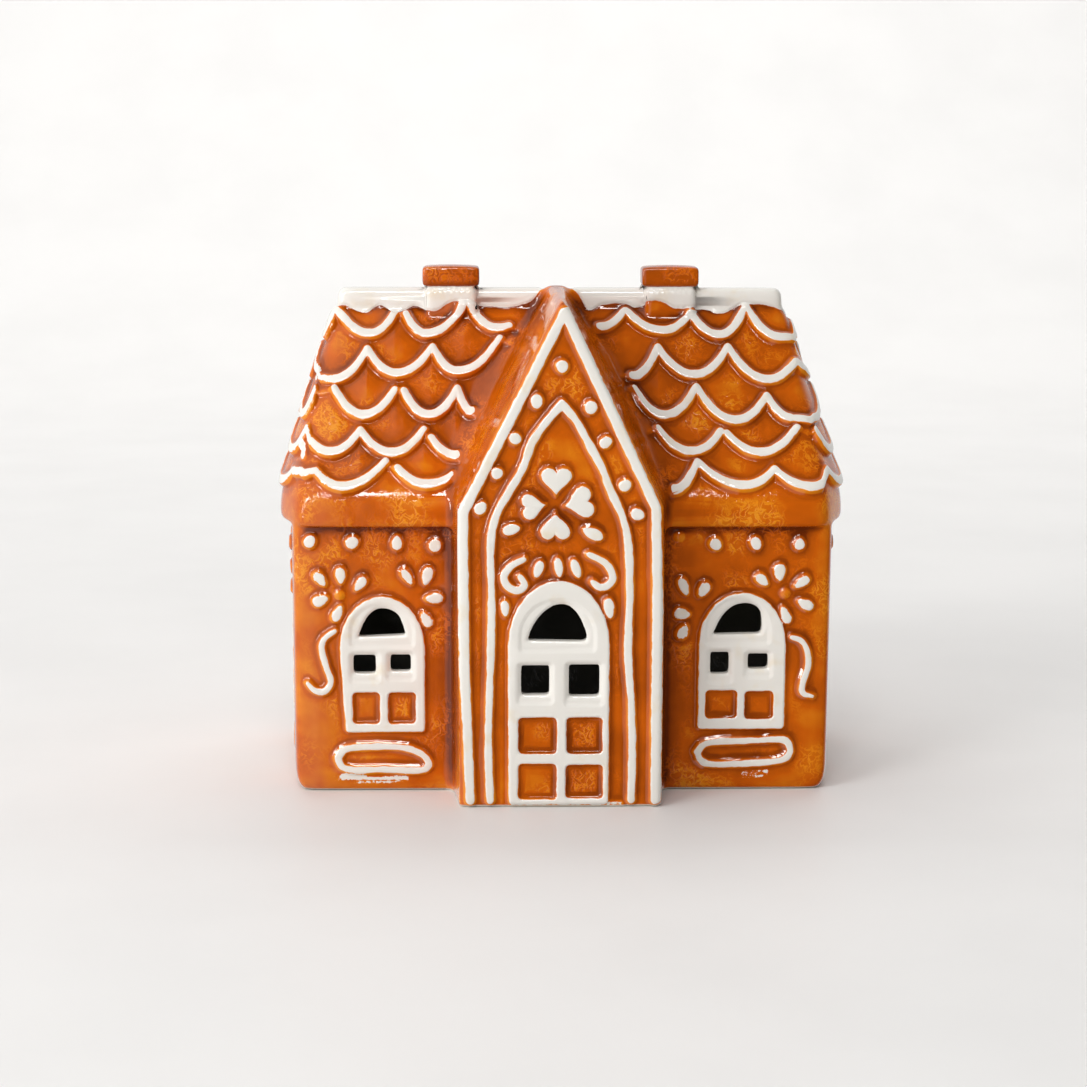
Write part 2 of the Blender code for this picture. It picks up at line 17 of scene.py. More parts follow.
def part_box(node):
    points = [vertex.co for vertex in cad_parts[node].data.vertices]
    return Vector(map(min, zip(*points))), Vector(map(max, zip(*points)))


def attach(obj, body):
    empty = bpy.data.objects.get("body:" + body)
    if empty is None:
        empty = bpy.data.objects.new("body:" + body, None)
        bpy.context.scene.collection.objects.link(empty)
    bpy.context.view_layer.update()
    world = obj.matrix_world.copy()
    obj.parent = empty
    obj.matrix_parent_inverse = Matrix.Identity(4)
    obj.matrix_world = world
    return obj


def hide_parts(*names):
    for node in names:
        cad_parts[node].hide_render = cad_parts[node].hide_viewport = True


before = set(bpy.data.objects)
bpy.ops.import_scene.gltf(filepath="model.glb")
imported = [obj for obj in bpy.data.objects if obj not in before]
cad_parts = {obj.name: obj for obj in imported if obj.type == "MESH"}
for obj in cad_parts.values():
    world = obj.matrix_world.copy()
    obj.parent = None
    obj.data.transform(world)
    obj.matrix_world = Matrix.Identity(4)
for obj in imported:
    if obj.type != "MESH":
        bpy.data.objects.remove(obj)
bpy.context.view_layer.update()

bl_info = {
    "name": "Glazed gingerbread house",
    "version": (1, 0, 0),
    "blender": (4, 5, 0),
    "location": "3D View > Sidebar > Gingerbread",
    "description": "Makes a ceramic gingerbread house with icing relief, its glaze and a pale studio",
    "category": "Object",
}

MM = 0.001
NODE = "house"

# Walls, eaves and roof
WALL_HALF = (78.6, 37.7)
WALL_TOP = 79.3
WALL_BULGE = 1.1
WALL_FLAT = 27.0
WALL_LAP = 1.0
CORNER = 2.3
WALL_CORNER = 1.7
FOOT_ROUND = 1.2
SHELL = 4.2
EAVE_HALF = (77.0, 40.7)
EAVE_BULGE = 6.1
EAVE_FLAT = 25.0
EAVE_TOP = 87.6
RIDGE_HALF = (66.8, 0.8)
RIDGE_TOP = 141.4
ROOF_SHELL = 4.6
ROOM_BOTTOM = -6.0

# Front porch, chimneys and the snow on the ridge
PORCH_X = -1.2
PORCH_FRONT = 53.9
PORCH_HALF = 28.9
PORCH_SHOULDER = 87.6
PORCH_APEX = 146.0
PORCH_FLARE = 6.4
PORCH_NOSE = 0.5
PORCH_BACK_NOSE = 2.2
GABLE_SLOPE = (PORCH_APEX - PORCH_SHOULDER) / PORCH_HALF
CHIMNEY_X = 32.7
STEM_HALF = (7.0, 4.2)
STEM_BOTTOM = 133.0
BAND_HALF = (8.5, 5.0)
BAND_BOTTOM = 146.1
BAND_TOP = 151.9
BAND_ARCH = 0.5
BAND_CROWN = 0.6
STEM_LAP = 2.0
SNOW_HALF = (66.0, 2.3)
SNOW_BOTTOM = 135.0
SNOW_TOP = 145.1

# Slope of the roof: how far it runs and rises, and its length
SLOPE_RUN = EAVE_HALF[1] - RIDGE_HALF[1]
SLOPE_RISE = RIDGE_TOP - EAVE_TOP
SLOPE_LENGTH = math.hypot(SLOPE_RUN, SLOPE_RISE)

# Roundings of the fired edges, and how softly two forms run into each other
ROUND = {"walls": 0.7, "roof": 0.9, "porch": 0.45, "snow": 1.0, "top": 0.5, "band": 0.4, "room": 1.0,
         "hole": 0.5}
MEET = {"eave": 1.2, "porch": 2.4, "valley": 7.0, "top": 0.9, "band": 0.6, "inside": 1.2, "hole": 1.1}
VALLEY_START = (84.0, 104.0)
VALLEY_STOP = (124.0, 138.0)

# Windows and the door, each as boxes (left, right, bottom, top) across and up its face, with the
# fan's outline as places. A frame adds the rise of its arch and how far its left foot leans in.
DOOR = {
    "frame": (-16.1, 12.7, 1.2, 48.0, 18.6, 0.2),
    "fan": ((-10.6, 49.3), (-10.0, 51.8), (-7.9, 55.6), (-5.2, 58.3), (-2.4, 59.7), (0.6, 59.6), (3.2, 57.6),
            (5.4, 53.6), (6.4, 50.4), (5.8, 49.0)),
    "lights": ((-12.2, -4.6, 33.5, 41.9), (1.4, 9.7, 33.1, 42.1)),
    "panes": ((-13.3, -2.1, 16.0, 26.9), (0.5, 11.0, 16.0, 26.9), (-13.3, -2.1, 2.4, 13.2),
              (0.3, 11.2, 2.7, 12.9)),
}
WINDOW_LEFT = {
    "frame": (-64.9, -40.3, 18.4, 43.5, 15.3, 1.6),
    "fan": ((-59.6, 46.8), (-58.7, 49.5), (-56.6, 53.2), (-54.0, 55.1), (-50.9, 55.1), (-47.9, 53.5),
            (-46.2, 49.6), (-45.7, 47.4)),
    "lights": ((-60.8, -54.7, 36.1, 41.3), (-50.0, -44.5, 36.7, 41.4)),
    "panes": ((-61.4, -53.3, 20.8, 30.4), (-51.1, -42.8, 20.8, 30.4)),
}
WINDOW_RIGHT = {
    "frame": (39.8, 65.1, 19.1, 44.5, 15.2, 0.0),
    "fan": ((43.9, 47.4), (45.2, 51.0), (47.4, 54.2), (50.2, 56.2), (53.0, 56.7), (55.9, 56.3), (57.3, 55.0),
            (58.1, 50.8), (57.8, 47.7)),
    "lights": ((43.4, 48.4, 35.7, 42.0), (54.4, 59.9, 37.2, 41.5)),
    "panes": ((41.8, 51.3, 22.2, 30.8), (53.3, 62.0, 21.9, 30.5)),
}
WINDOW_PLAIN = {
    "frame": (-12.5, 12.5, 18.8, 44.0, 15.2, 0.0),
    "fan": ((-7.2, 47.0), (-6.3, 50.2), (-4.0, 53.8), (-1.2, 55.7), (1.8, 55.6), (4.5, 53.4), (6.4, 50.0),
            (7.0, 47.3)),
    "lights": ((-8.1, -2.5, 36.1, 41.5), (2.5, 8.1, 36.3, 41.5)),
    "panes": ((-9.3, -1.1, 20.8, 30.6), (1.1, 9.3, 20.8, 30.6)),
}
HOLE_GROWTH = 0.5
HOLE_AHEAD = 4.0
HOLE_PAST = 2.0
PLATE_CORNER = 1.1
PANE_CORNER = 1.5
RECESS_LIGHT = (1.3, 2.8, 0.9)
RECESS_FAN = (2.3, 2.9, 1.6)
RECESS_SOFT = 0.8
RIM_DEPTH = 4.4
RIM_REACH = 0.5

# Icing on the porch front: lines as places across and up, blobs with a tilt in degrees
TRIM = ((-27.0, 2.4), (-28.4, 40.0), (-28.8, 78.0), (-28.6, 86.6), (-0.6, 142.6), (25.5, 87.4), (26.1, 60.0),
        (26.2, 2.4))
INNER_LEFT = ((-21.3, 2.4), (-21.8, 20.0), (-21.1, 46.0), (-20.9, 62.0), (-21.2, 77.0), (-19.5, 85.5),
              (-15.6, 92.8), (-11.8, 99.5), (-9.6, 106.0), (-5.4, 112.2), (-1.2, 117.0))
INNER_RIGHT = ((-1.2, 117.0), (2.6, 112.6), (6.6, 105.4), (10.3, 98.6), (12.6, 92.4), (15.9, 85.4),
               (17.8, 76.8), (18.3, 61.0), (18.0, 46.0), (19.0, 32.0), (19.5, 14.0), (19.3, 2.4))
GABLE_DOTS = ((-1.2, 127.6), (-8.2, 117.8), (-14.3, 107.3), (-19.3, 97.4), (-24.0, 87.5),
              (6.9, 116.1), (11.2, 106.2), (16.7, 94.0), (20.3, 85.7))
HEARTS = ((-2.7, 95.7, 4.25, 0), (-9.5, 88.0, 3.6, 97), (-2.9, 81.7, 4.2, 180), (4.3, 89.1, 4.4, 283))
DOOR_LEAVES = ((-15.3, 81.4, 1.6, 2.5, 104), (7.8, 80.2, 1.8, 3.1, 244))
DOOR_CURL_LEFT = ((-11.7, 72.9), (-15.3, 71.0), (-17.4, 67.8), (-16.2, 65.0), (-13.5, 63.9), (-11.5, 65.5),
                  (-12.9, 68.0))
DOOR_CURL_RIGHT = ((6.6, 74.2), (11.3, 71.8), (13.4, 68.2), (12.6, 65.8), (10.0, 64.7), (7.7, 66.3))
DOOR_TEARS = ((-7.6, 70.0, 1.5, 2.5, -20), (-1.9, 70.5, 1.4, 2.8, 6), (3.0, 70.2, 1.4, 2.7, 20))
DOOR_PETALS = ((-17.0, 58.7, 1.3, 2.3, 4), (12.5, 58.7, 1.7, 2.9, 10))

# Icing on the wings: petals across and up with a tilt, dots, scrolls and the window boxes
PETAL_HALF = (1.88, 2.5)
LEFT_PETALS = ((-70.4, 64.0, 38), (-64.5, 65.0, 4), (-58.8, 62.6, -38), (-70.3, 57.7, 112),
               (-65.5, 53.8, 155), (-45.2, 64.7, 34), (-39.4, 64.9, -16), (-37.5, 58.3, -86),
               (-39.8, 52.0, -150))
RIGHT_PETALS = ((35.1, 61.7, 22), (40.9, 60.8, -30), (34.8, 53.6, 84), (35.1, 48.3, 152),
                (57.9, 63.6, 48), (63.0, 65.9, 2), (69.4, 62.9, -56), (70.6, 56.4, -118), (64.9, 53.2, -158))
LEFT_DOTS = ((-73.2, 75.0), (-61.0, 74.8), (-48.1, 74.6), (-37.1, 73.8))
RIGHT_DOTS = ((44.2, 74.2), (55.9, 74.4), (68.6, 74.2))
BARE_DOT = 0.9
BARE_DOTS = ((33.6, 76.4), (-64.8, 59.2), (64.9, 59.6))
LEFT_SCROLL = ((-66.3, 48.6), (-69.3, 46.4), (-70.2, 43.5), (-69.0, 38.2), (-67.6, 33.4), (-69.4, 30.6),
               (-72.3, 30.9), (-74.3, 33.0))
RIGHT_SCROLL = ((66.8, 46.6), (69.8, 45.4), (71.6, 42.2), (71.8, 37.9), (70.4, 32.8), (70.5, 29.9),
                (73.4, 28.8))
LEFT_BOX = ((-65.8, 10.4), (-64.2, 12.8), (-60.8, 13.7), (-52.0, 14.0), (-45.5, 13.4), (-41.2, 11.6),
            (-39.2, 8.9), (-40.6, 7.0), (-45.0, 6.7), (-52.0, 7.1), (-60.6, 6.9), (-64.6, 7.9))
RIGHT_BOX = ((39.8, 12.0), (41.6, 14.3), (45.5, 15.1), (56.1, 15.5), (64.8, 15.7), (67.0, 13.5), (66.7, 10.9),
             (63.9, 9.3), (55.5, 8.6), (44.6, 8.3), (41.0, 9.4))
PLAIN_BOX = (-13.6, 13.6, 6.8, 14.6)
BOX_LINE = 1.8
SCROLL_LINE = 1.5
SMUDGE = {"half": 1.15, "wear": 0.42}
SMUDGES = (((-66.0, 4.3), (-62.5, 4.9), (-58.0, 4.2)), ((-62.0, 3.6), (-54.0, 3.4), (-46.0, 4.2)),
           ((60.0, 5.4), (54.0, 4.9)))
SHOULDER_DABS = (((-31.8, 84.4), (-31.5, 87.6)), ((28.9, 84.6), (28.5, 87.4)))
SCROLL_PLAIN = ((13.7, 48.0), (17.2, 45.4), (17.5, 41.6), (15.8, 36.2), (15.2, 32.4), (18.6, 30.4),
                (21.6, 32.6))
PLAIN_PETALS = ((17.7, 63.8, -38), (11.6, 65.0, 4), (6.5, 62.6, 35), (17.5, 58.0, 62), (12.8, 53.8, 36),
                (-7.4, 64.4, -50), (-13.5, 64.7, 12), (-15.1, 58.2, -56), (-12.9, 52.0, -36))
PLAIN_DOTS = ((20.7, 75.0), (9.1, 75.0), (-4.0, 74.6), (-15.8, 73.9))
BACK_HEARTS = ((0.0, 46.6, 4.6, 0), (-7.2, 39.4, 4.4, 90), (0.0, 32.2, 4.6, 180), (7.2, 39.4, 4.4, 270))
END_DOTS = ((-24.6, 72.6), (-12.3, 73.2), (0.0, 73.0), (12.3, 73.2), (24.6, 72.6))
END_PETALS = ((17.7, 63.8, -38), (11.6, 65.0, 4), (17.5, 58.0, 62), (-17.7, 63.8, 38), (-11.6, 65.0, -4),
              (-17.5, 58.0, -62))

# Rows of shingles from the eave up: the usual height of bottoms and cusps, and the strokes of icing
# outwards from the porch on the left and on the right, as places across and up the slope
SHINGLES = (
    {"bottom": 4.0, "cusp": 10.8,
     "left": (((-31.5, 7.6), (-39.6, 4.6), (-47.8, 9.8)),
              ((-51.4, 12.1), (-63.8, 3.9), (-71.1, 8.9), (-80.5, 8.0))),
     "right": (((31.8, 2.9), (38.7, 12.1), (52.2, 4.2), (61.1, 9.5), (71.2, 3.9), (77.4, 9.0)),)},
    {"bottom": 14.8, "cusp": 22.6,
     "left": (((-30.2, 13.6), (-38.3, 19.8)),
              ((-40.4, 22.6), (-49.6, 14.8), (-58.8, 22.4), (-67.2, 15.1), (-75.1, 22.9))),
     "right": (((27.7, 22.9), (37.3, 15.2), (45.9, 21.9)), ((47.8, 21.4), (57.3, 14.9), (68.3, 23.5)))},
    {"bottom": 27.0, "cusp": 36.2,
     "left": (((-26.1, 28.1), (-30.7, 36.5), (-38.9, 27.3), (-46.4, 35.5)),
              ((-49.0, 35.9), (-58.0, 27.3), (-66.6, 36.5))),
     "right": (((21.0, 36.1), (29.9, 27.3), (39.5, 37.1), (50.5, 25.6), (60.1, 34.0), (67.0, 26.4),
                (74.8, 26.1)),)},
    {"bottom": 40.4, "cusp": 50.5,
     "left": (((-18.2, 53.6), (-30.7, 42.0), (-38.1, 50.6), (-48.6, 41.3), (-57.3, 49.8), (-66.9, 39.4),
               (-73.0, 42.8)),),
     "right": (((20.7, 40.3), (28.6, 50.5), (39.2, 40.9), (49.4, 50.7), (60.9, 39.3), (69.1, 46.2)),)},
    {"bottom": 55.2, "cusp": 63.5,
     "left": (((-15.4, 57.8), (-19.1, 56.9), (-27.0, 65.0)), ((-28.9, 65.0), (-40.0, 54.9), (-46.1, 61.7)),
              ((-49.4, 62.3), (-56.7, 54.9), (-66.7, 64.9))),
     "right": (((11.4, 57.2), (19.3, 63.5), (30.5, 56.1), (38.7, 62.4), (47.2, 54.6), (55.4, 65.2),
                (64.9, 54.0), (69.2, 54.7)),)},
)
HIP_DABS = (((-82.0, 8.4), (-76.5, 8.6), (-71.5, 9.0)), ((-76.6, 14.0), (-77.4, 20.0)),
            ((-74.4, 40.0), (-71.6, 42.6)))
HIP_DAB = {"height": 0.3, "width": 1.25, "wear": 0.35}
SHINGLE_PITCH = 19.4
SHINGLE_POWER = 2.1
SHINGLE_POINTS = 9

# Lower edge of the snow on the front slope: places along the ridge and up the slope
SNOW_LEFT = ((-72.0, 66.0), (-68.5, 64.9), (-65.5, 66.8), (-63.4, 66.4), (-61.2, 64.2), (-58.7, 62.8),
             (-57.2, 63.2), (-55.5, 65.5), (-53.6, 66.6), (-51.4, 64.6), (-49.4, 62.3), (-46.6, 63.9),
             (-43.8, 66.3), (-41.5, 65.2), (-38.7, 63.1), (-36.2, 63.6), (-33.1, 66.1), (-28.9, 66.7),
             (-21.4, 66.1), (-15.8, 65.6), (-9.3, 67.8), (-4.5, 71.7))
SNOW_RIGHT = ((4.5, 71.6), (8.3, 64.4), (12.1, 66.8), (19.1, 67.3), (22.4, 65.7), (26.0, 66.9), (29.9, 66.6),
              (34.5, 64.1), (38.3, 64.6), (42.1, 64.9), (44.4, 64.2), (46.6, 62.5), (49.2, 63.0),
              (51.5, 65.2), (54.9, 67.4), (61.0, 66.9), (67.0, 65.2), (71.0, 65.8))
SNOW_DIP = 62.4
SNOW_SHARE = 0.66
SNOW_BACK = {"edge": 65.6, "wave": 1.5, "pitch": 14.6}

# How the relief is shaped: a bead is full height inside the white and falls over its brown flank
PLATE_FLANK = 0.9
CROWN = 0.45
FLANK = 1.35
SNOW_FLANK = 0.9
SCALLOP_WIDTH = (0.92, 1.32)
SCALLOP_HEIGHT = 0.8
MARGIN = 3.0
RECESS_MARGIN = 2.0
FAR = 9.0
RING_NEAR = 1.3
RING_WIDE = 3.2
RING_FORM = 3.5
STEP_FOOT = 0.15
STEP_FALL = 1.2
NUDGE = 0.15
FACE_REACH = 3.0
FACING = (0.3, 0.7)
PORCH_FADE = (0.2, 2.6)
ROOM_SKIN = 0.8
SKIRT_HEIGHT = 0.4
SKIRT_WIDTH = 1.3
CREST_RIPPLE = 0.2
CREST_TURN = 4.0
# How much darker the chimney bands are drawn
BAND_DARKENING = 0.4
CHUNK = 120000

# The glaze: noise in features to a millimetre, and what changes its depth, 0 thin to 1 pooled, as
# how much each value counts and the least and the most that it may add. The form's hollow darkens it partly
# as pooled glaze and partly as painted shade in corners
EDGE_WAVER = 0.3
EDGE_WEAR = 0.8
EDGE_MASK = (-0.07, 0.10)
EDGE_THIN = (0.03, 0.36)
CLOUDS = 0.05
GRAIN = 0.46
PATCHES = 0.07
RIPPLES = 0.09
STAINS = 0.12
PLAIN_DEPTH = 0.55
CLOUD_DEPTH = 0.75
GRAIN_DEPTH = -0.27
DEPTH_AND_SHADE_CHANGES = (
    ("Near Hollow", 0.7, -0.08, 0.1), ("Wide Hollow", 0.3, -0.05, 0.05), ("Above Line", 0.4, 0.0, 0.13),
    ("Form Pooling And Shade", 0.55, -0.05, 0.5), ("Thin", -0.12, -0.12, 0.0),
)
COLOUR_STOPS = (("thin", 0.0), ("honey", 0.3), ("brown", 0.55), ("pooled", 1.0))
STAIN_TINT = (0.97, 0.90, 0.78)
GLAZE_IOR = 1.62
BUMP_STRENGTH = 0.35
BUMP_DISTANCE = 0.0004
FOOT_RIM = (0.0005, 0.0009)
FOOT_ROUGHNESS = 0.6

# The sheet behind the house and the lights' sizes, in metres, and the camera's own turn in degrees
SWEEP_START = 0.8
SWEEP_RADIUS = 0.7
SWEEP_STEPS = 24
FLOOR_CLOUDS = 0.012
FLOOR_DARKER = 0.965
FLOOR_ROUGHNESS = 0.5
FLOOR_SPECULAR = 0.2
WORLD_BEHIND = (0.1, 0.8, 0.03, 0.75)
WORLD_LEFT = (-0.16, 0.0, 0.62, 0.03)
WORLD_COLOUR = (0.98, 0.98, 0.985, 1.0)
WINDOW_SIZE = (0.4, 0.16)
WINDOW_DISTANCE = 1.25
WINDOW_PANELS = (((-0.06, -0.68, 0.73), 0), ((-0.57, -0.65, 0.50), 40), ((-0.81, -0.56, 0.15), 75))
WINDOW_TARGET = (0.0, 0.0, 0.08)
BACKDROP_SIZE = (2.2, 0.5)
FILL_DIRECTION = (0.12, -0.3, -0.92)
FILL_ANGLE = 150
BACKDROP_PLACE = (0.0, 0.75, 1.3)
BACKDROP_TARGET = (0.0, 1.35, 0.1)
CAMERA_TURN = {"yaw": 1.588, "pitch": 10.330, "roll": 0.2414}
CAMERA_PLACE = (-24.678, -720.552, 198.844)


def ease(value, low, high):
    """0 below low, 1 above high and a smooth rise between."""
    t = np.clip((value - low) / (high - low), 0.0, 1.0)
    return t * t * (3.0 - 2.0 * t)


def plan(half, bulge, flat, height, corner=CORNER):
    """The outline of a storey at one height: rounded corners, and ends that stand out where flat."""
    points = []
    for side, end in ((1, 1), (-1, 1), (-1, -1), (1, -1)):
        for step in range(3):
            angle = math.radians(45 * step)
            across = half[0] - corner + corner * math.sin(angle)
            along = half[1] - corner + corner * math.cos(angle)
            points.append((side * across, end * along, height))
        points.append((side * (half[0] + bulge), end * flat, height))
    return points


def bar(middle, half, bottom, top):
    """The eight corners of a block."""
    return [
        (middle + a * half[0], b * half[1], height)
        for a in (-1, 1) for b in (-1, 1) for height in (bottom, top)
    ]


def porch_section(y, half, nose, inset=0.0, bottom=0.0):
    """The porch's cross-section: two walls, two shoulders and a peak that may be blunt."""
    peak = PORCH_APEX - inset * math.hypot(1, GABLE_SLOPE)
    side = half - inset
    shoulder = peak - (side - nose) * GABLE_SLOPE if inset else PORCH_SHOULDER
    corners = [(side, bottom), (side, shoulder), (nose, peak)]
    return [(PORCH_X + turn * u, y, v) for turn in (-1, 1) for u, v in corners]


class Form:
    """A convex solid as the planes of its faces, with its edges rounded off."""

    def __init__(self, points, rounding, small=False):
        mesh = bmesh.new()
        for point in points:
            mesh.verts.new(point)
        bmesh.ops.convex_hull(mesh, input=mesh.verts)
        bmesh.ops.recalc_face_normals(mesh, faces=mesh.faces)
        planes = []
        for face in sorted(mesh.faces, key=lambda one: -one.calc_area()):
            offset = face.normal.dot(face.verts[0].co)
            if not any(face.normal.dot(n) > 0.9995 and abs(offset - o) < 0.2 for n, o in planes):
                planes.append((face.normal.copy(), offset))
        mesh.free()
        self.normals = np.array([tuple(normal) for normal, _ in planes], np.float32)
        self.offsets = np.array([offset for _, offset in planes], np.float32)
        self.rounding = rounding
        self.low = np.min(points, axis=0) - FAR
        self.high = np.max(points, axis=0) + FAR
        self.small = small

    def rise(self, points):
        """How far outside the solid each point is, and the direction in which that grows."""
        value = np.full(len(points), FAR, np.float32)
        slope = np.zeros((len(points), 3), np.float32)
        if self.small:
            near = np.all((points > self.low) & (points < self.high), axis=1)
        else:
            near = np.ones(len(points), bool)
        if near.any():
            heights = (points[near] @ self.normals.T - self.offsets) / self.rounding
            top = heights.max(axis=1, keepdims=True)
            weights = np.exp(heights - top)
            total = weights.sum(axis=1, keepdims=True)
            value[near] = self.rounding * (top + np.log(total))[:, 0]
            slope[near] = (weights / total) @ self.normals
        return value, slope


def join(first, second, width):
    """Two forms run together, with a fillet where they meet."""
    t = np.clip(0.5 + 0.5 * (second[0] - first[0]) / width, 0.0, 1.0)
    value = second[0] + (first[0] - second[0]) * t - width * t * (1.0 - t)
    slope = second[1] + (first[1] - second[1]) * t[:, None]
    return value, slope


def carve(first, second, width):
    """The first form with the second taken out of it."""
    value, slope = join((-first[0], -first[1]), second, width)
    return -value, -slope


def arch(box, rise, lean=0.0, steps=14):
    """The outline of a frame with straight jambs, the left one leaning, and a half-ellipse head."""
    left, right, bottom, spring = box
    middle = (left + right) / 2
    half = (right - left) / 2
    points = [(right, bottom)]
    for step in range(steps + 1):
        angle = math.pi * step / steps
        points.append((middle + half * math.cos(angle), spring + rise * math.sin(angle)))
    return points + [(left + lean, bottom)]


def rectangle(box, growth=0.0):
    """The outline of a box, grown on every side."""
    left, right, bottom, top = box[0] - growth, box[1] + growth, box[2] - growth, box[3] + growth
    return [(right, bottom), (right, top), (left, top), (left, bottom)]


def grown(outline, growth):
    """A rounded outline with each place moved away from the middle."""
    middle = Vector((sum(u for u, _ in outline), sum(v for _, v in outline))) / len(outline)
    return [tuple(Vector(place) + (Vector(place) - middle).normalized() * growth) for place in outline]


def rounded(outline, radius, steps=4):
    """An outline with its sharp corners rounded off."""
    made = []
    for before, corner, after in zip(outline[-1:] + outline[:-1], outline, outline[1:] + outline[:1]):
        corner = Vector(corner)
        back, ahead = Vector(before) - corner, Vector(after) - corner
        if back.angle(ahead) > 2.3:
            made.append(tuple(corner))
            continue
        start, stop = corner + back.normalized() * radius, corner + ahead.normalized() * radius
        for step in range(steps + 1):
            t = step / steps
            made.append(tuple(start.lerp(corner, t).lerp(corner.lerp(stop, t), t)))
    return made


def capsule(box, steps=6):
    """The outline of a window box: a rectangle with round ends."""
    left, right, bottom, top = box
    radius = (top - bottom) / 2
    points = []
    for middle, start in ((right - radius, -90), (left + radius, 90)):
        for step in range(steps + 1):
            angle = math.radians(start + 180 * step / steps)
            points.append((middle + radius * math.cos(angle), bottom + radius + radius * math.sin(angle)))
    return points + points[:1]


def oval(u, v, across, along, tilt, steps=12, point=0.0):
    """The outline of a petal or a dot: an oval, its tip drawn in by the share named point."""
    cos, sin = math.cos(math.radians(tilt)), math.sin(math.radians(tilt))
    points = []
    for step in range(steps):
        angle = math.tau * step / steps
        b = along * math.sin(angle)
        a = across * math.cos(angle) * (1.0 - point * (0.5 - 0.5 * math.sin(angle)))
        points.append((u + a * cos - b * sin, v + a * sin + b * cos))
    return points


def heart(u, v, size, tilt, steps=28):
    """The outline of a heart, by the usual sine and cosine curve, its point down before the tilt."""
    cos, sin = math.cos(math.radians(tilt)), math.sin(math.radians(tilt))
    points = []
    for step in range(steps):
        t = math.tau * step / steps
        a = -size * math.sin(t) ** 3
        b = size * (13 * math.cos(t) - 5 * math.cos(2 * t) - 2 * math.cos(3 * t) - math.cos(4 * t)) / 16
        points.append((u + a * cos - b * sin, v + a * sin + b * cos))
    return points


def smooth_line(points, steps=4):
    """A smooth line through the points."""
    ends = [points[0], *points, points[-1]]
    made = []
    for a, b, c, d in zip(ends, ends[1:], ends[2:], ends[3:]):
        for step in range(steps):
            t = step / steps
            made.append([
                0.5 * (2 * b[i] + (c[i] - a[i]) * t + (2 * a[i] - 5 * b[i] + 4 * c[i] - d[i]) * t ** 2
                       + (3 * b[i] - a[i] - 3 * c[i] + d[i]) * t ** 3)
                for i in range(2)
            ])
    return made + [list(points[-1])]


def line_distance(places, line, widths=None):
    """The distance of each place from a line of straight runs, less the line's half width there."""
    starts = line[:-1]
    runs = line[1:] - starts
    offset = places[:, None, :] - starts[None]
    along = np.clip((offset * runs).sum(-1) / np.maximum((runs ** 2).sum(-1), 1e-9), 0.0, 1.0)
    gap = offset - along[..., None] * runs
    distance = np.sqrt((gap ** 2).sum(-1))
    if widths is not None:
        distance = distance - widths[:-1] - (widths[1:] - widths[:-1]) * along
    return distance.min(axis=1)


def tapered(half_width, count):
    """Half widths along a stroke of icing that starts and ends thinner."""
    return half_width * (0.62 + 0.38 * np.sin(np.pi * np.linspace(0.0, 1.0, count)) ** 0.6)


def uneven(share, count):
    """Half widths along a hand-drawn line, as shares of the regular one."""
    steps = np.arange(count)
    return share + 0.08 * np.sin(0.83 * steps) + 0.05 * np.sin(2.3 * steps + 1.0)


def outline_distance(places, outline):
    """The distance of each place from an outline, negative inside it."""
    after = np.roll(outline, -1, axis=0)
    distance = line_distance(places, np.vstack([outline, outline[:1]]))
    across, up = places[:, :1], places[:, 1:]
    crossing = (outline[:, 1] > up) != (after[:, 1] > up)
    fall = after[:, 1] - outline[:, 1]
    fall = np.where(np.abs(fall) < 1e-9, 1e-9, fall)
    at = (after[:, 0] - outline[:, 0]) * (up - outline[:, 1]) / fall + outline[:, 0]
    inside = (crossing & (across < at)).sum(axis=1) % 2 == 1
    return np.where(inside, -distance, distance)


class Mark:
    """One line or patch of icing: where it is white, how high it stands, and what is cut from it.

    A line has a half width, as one number or as one for each of its points. A patch has none.
    """

    def __init__(self, points, height, half_width=None, painted=True, cuts=(), wear=0.0, flank=FLANK):
        self.points = np.array(points, np.float64)
        self.height = height
        self.widths = None
        if half_width is not None:
            self.widths = np.broadcast_to(half_width, len(self.points)).astype(float)
        self.painted = painted
        self.cuts = [np.array(cut, np.float64) for cut in cuts]
        self.wear = wear
        self.flank = flank
        margin = MARGIN + (0.0 if half_width is None else self.widths.max())
        self.low = self.points.min(axis=0) - margin
        self.high = self.points.max(axis=0) + margin

    def rise(self, gap):
        """The height of the bead at a distance from the white: full inside, falling over the flank."""
        t = np.clip((gap + CROWN) / (CROWN + self.flank), 0.0, 1.0)
        return self.height * (1.0 - t * t) ** 2

    def gap(self, places):
        """The distance of each place from the white, negative inside it."""
        if self.widths is None:
            gap = outline_distance(places, self.points)
        else:
            gap = line_distance(places, self.points, self.widths)
        for cut in self.cuts:
            gap = np.maximum(gap, -outline_distance(places, cut))
        return gap


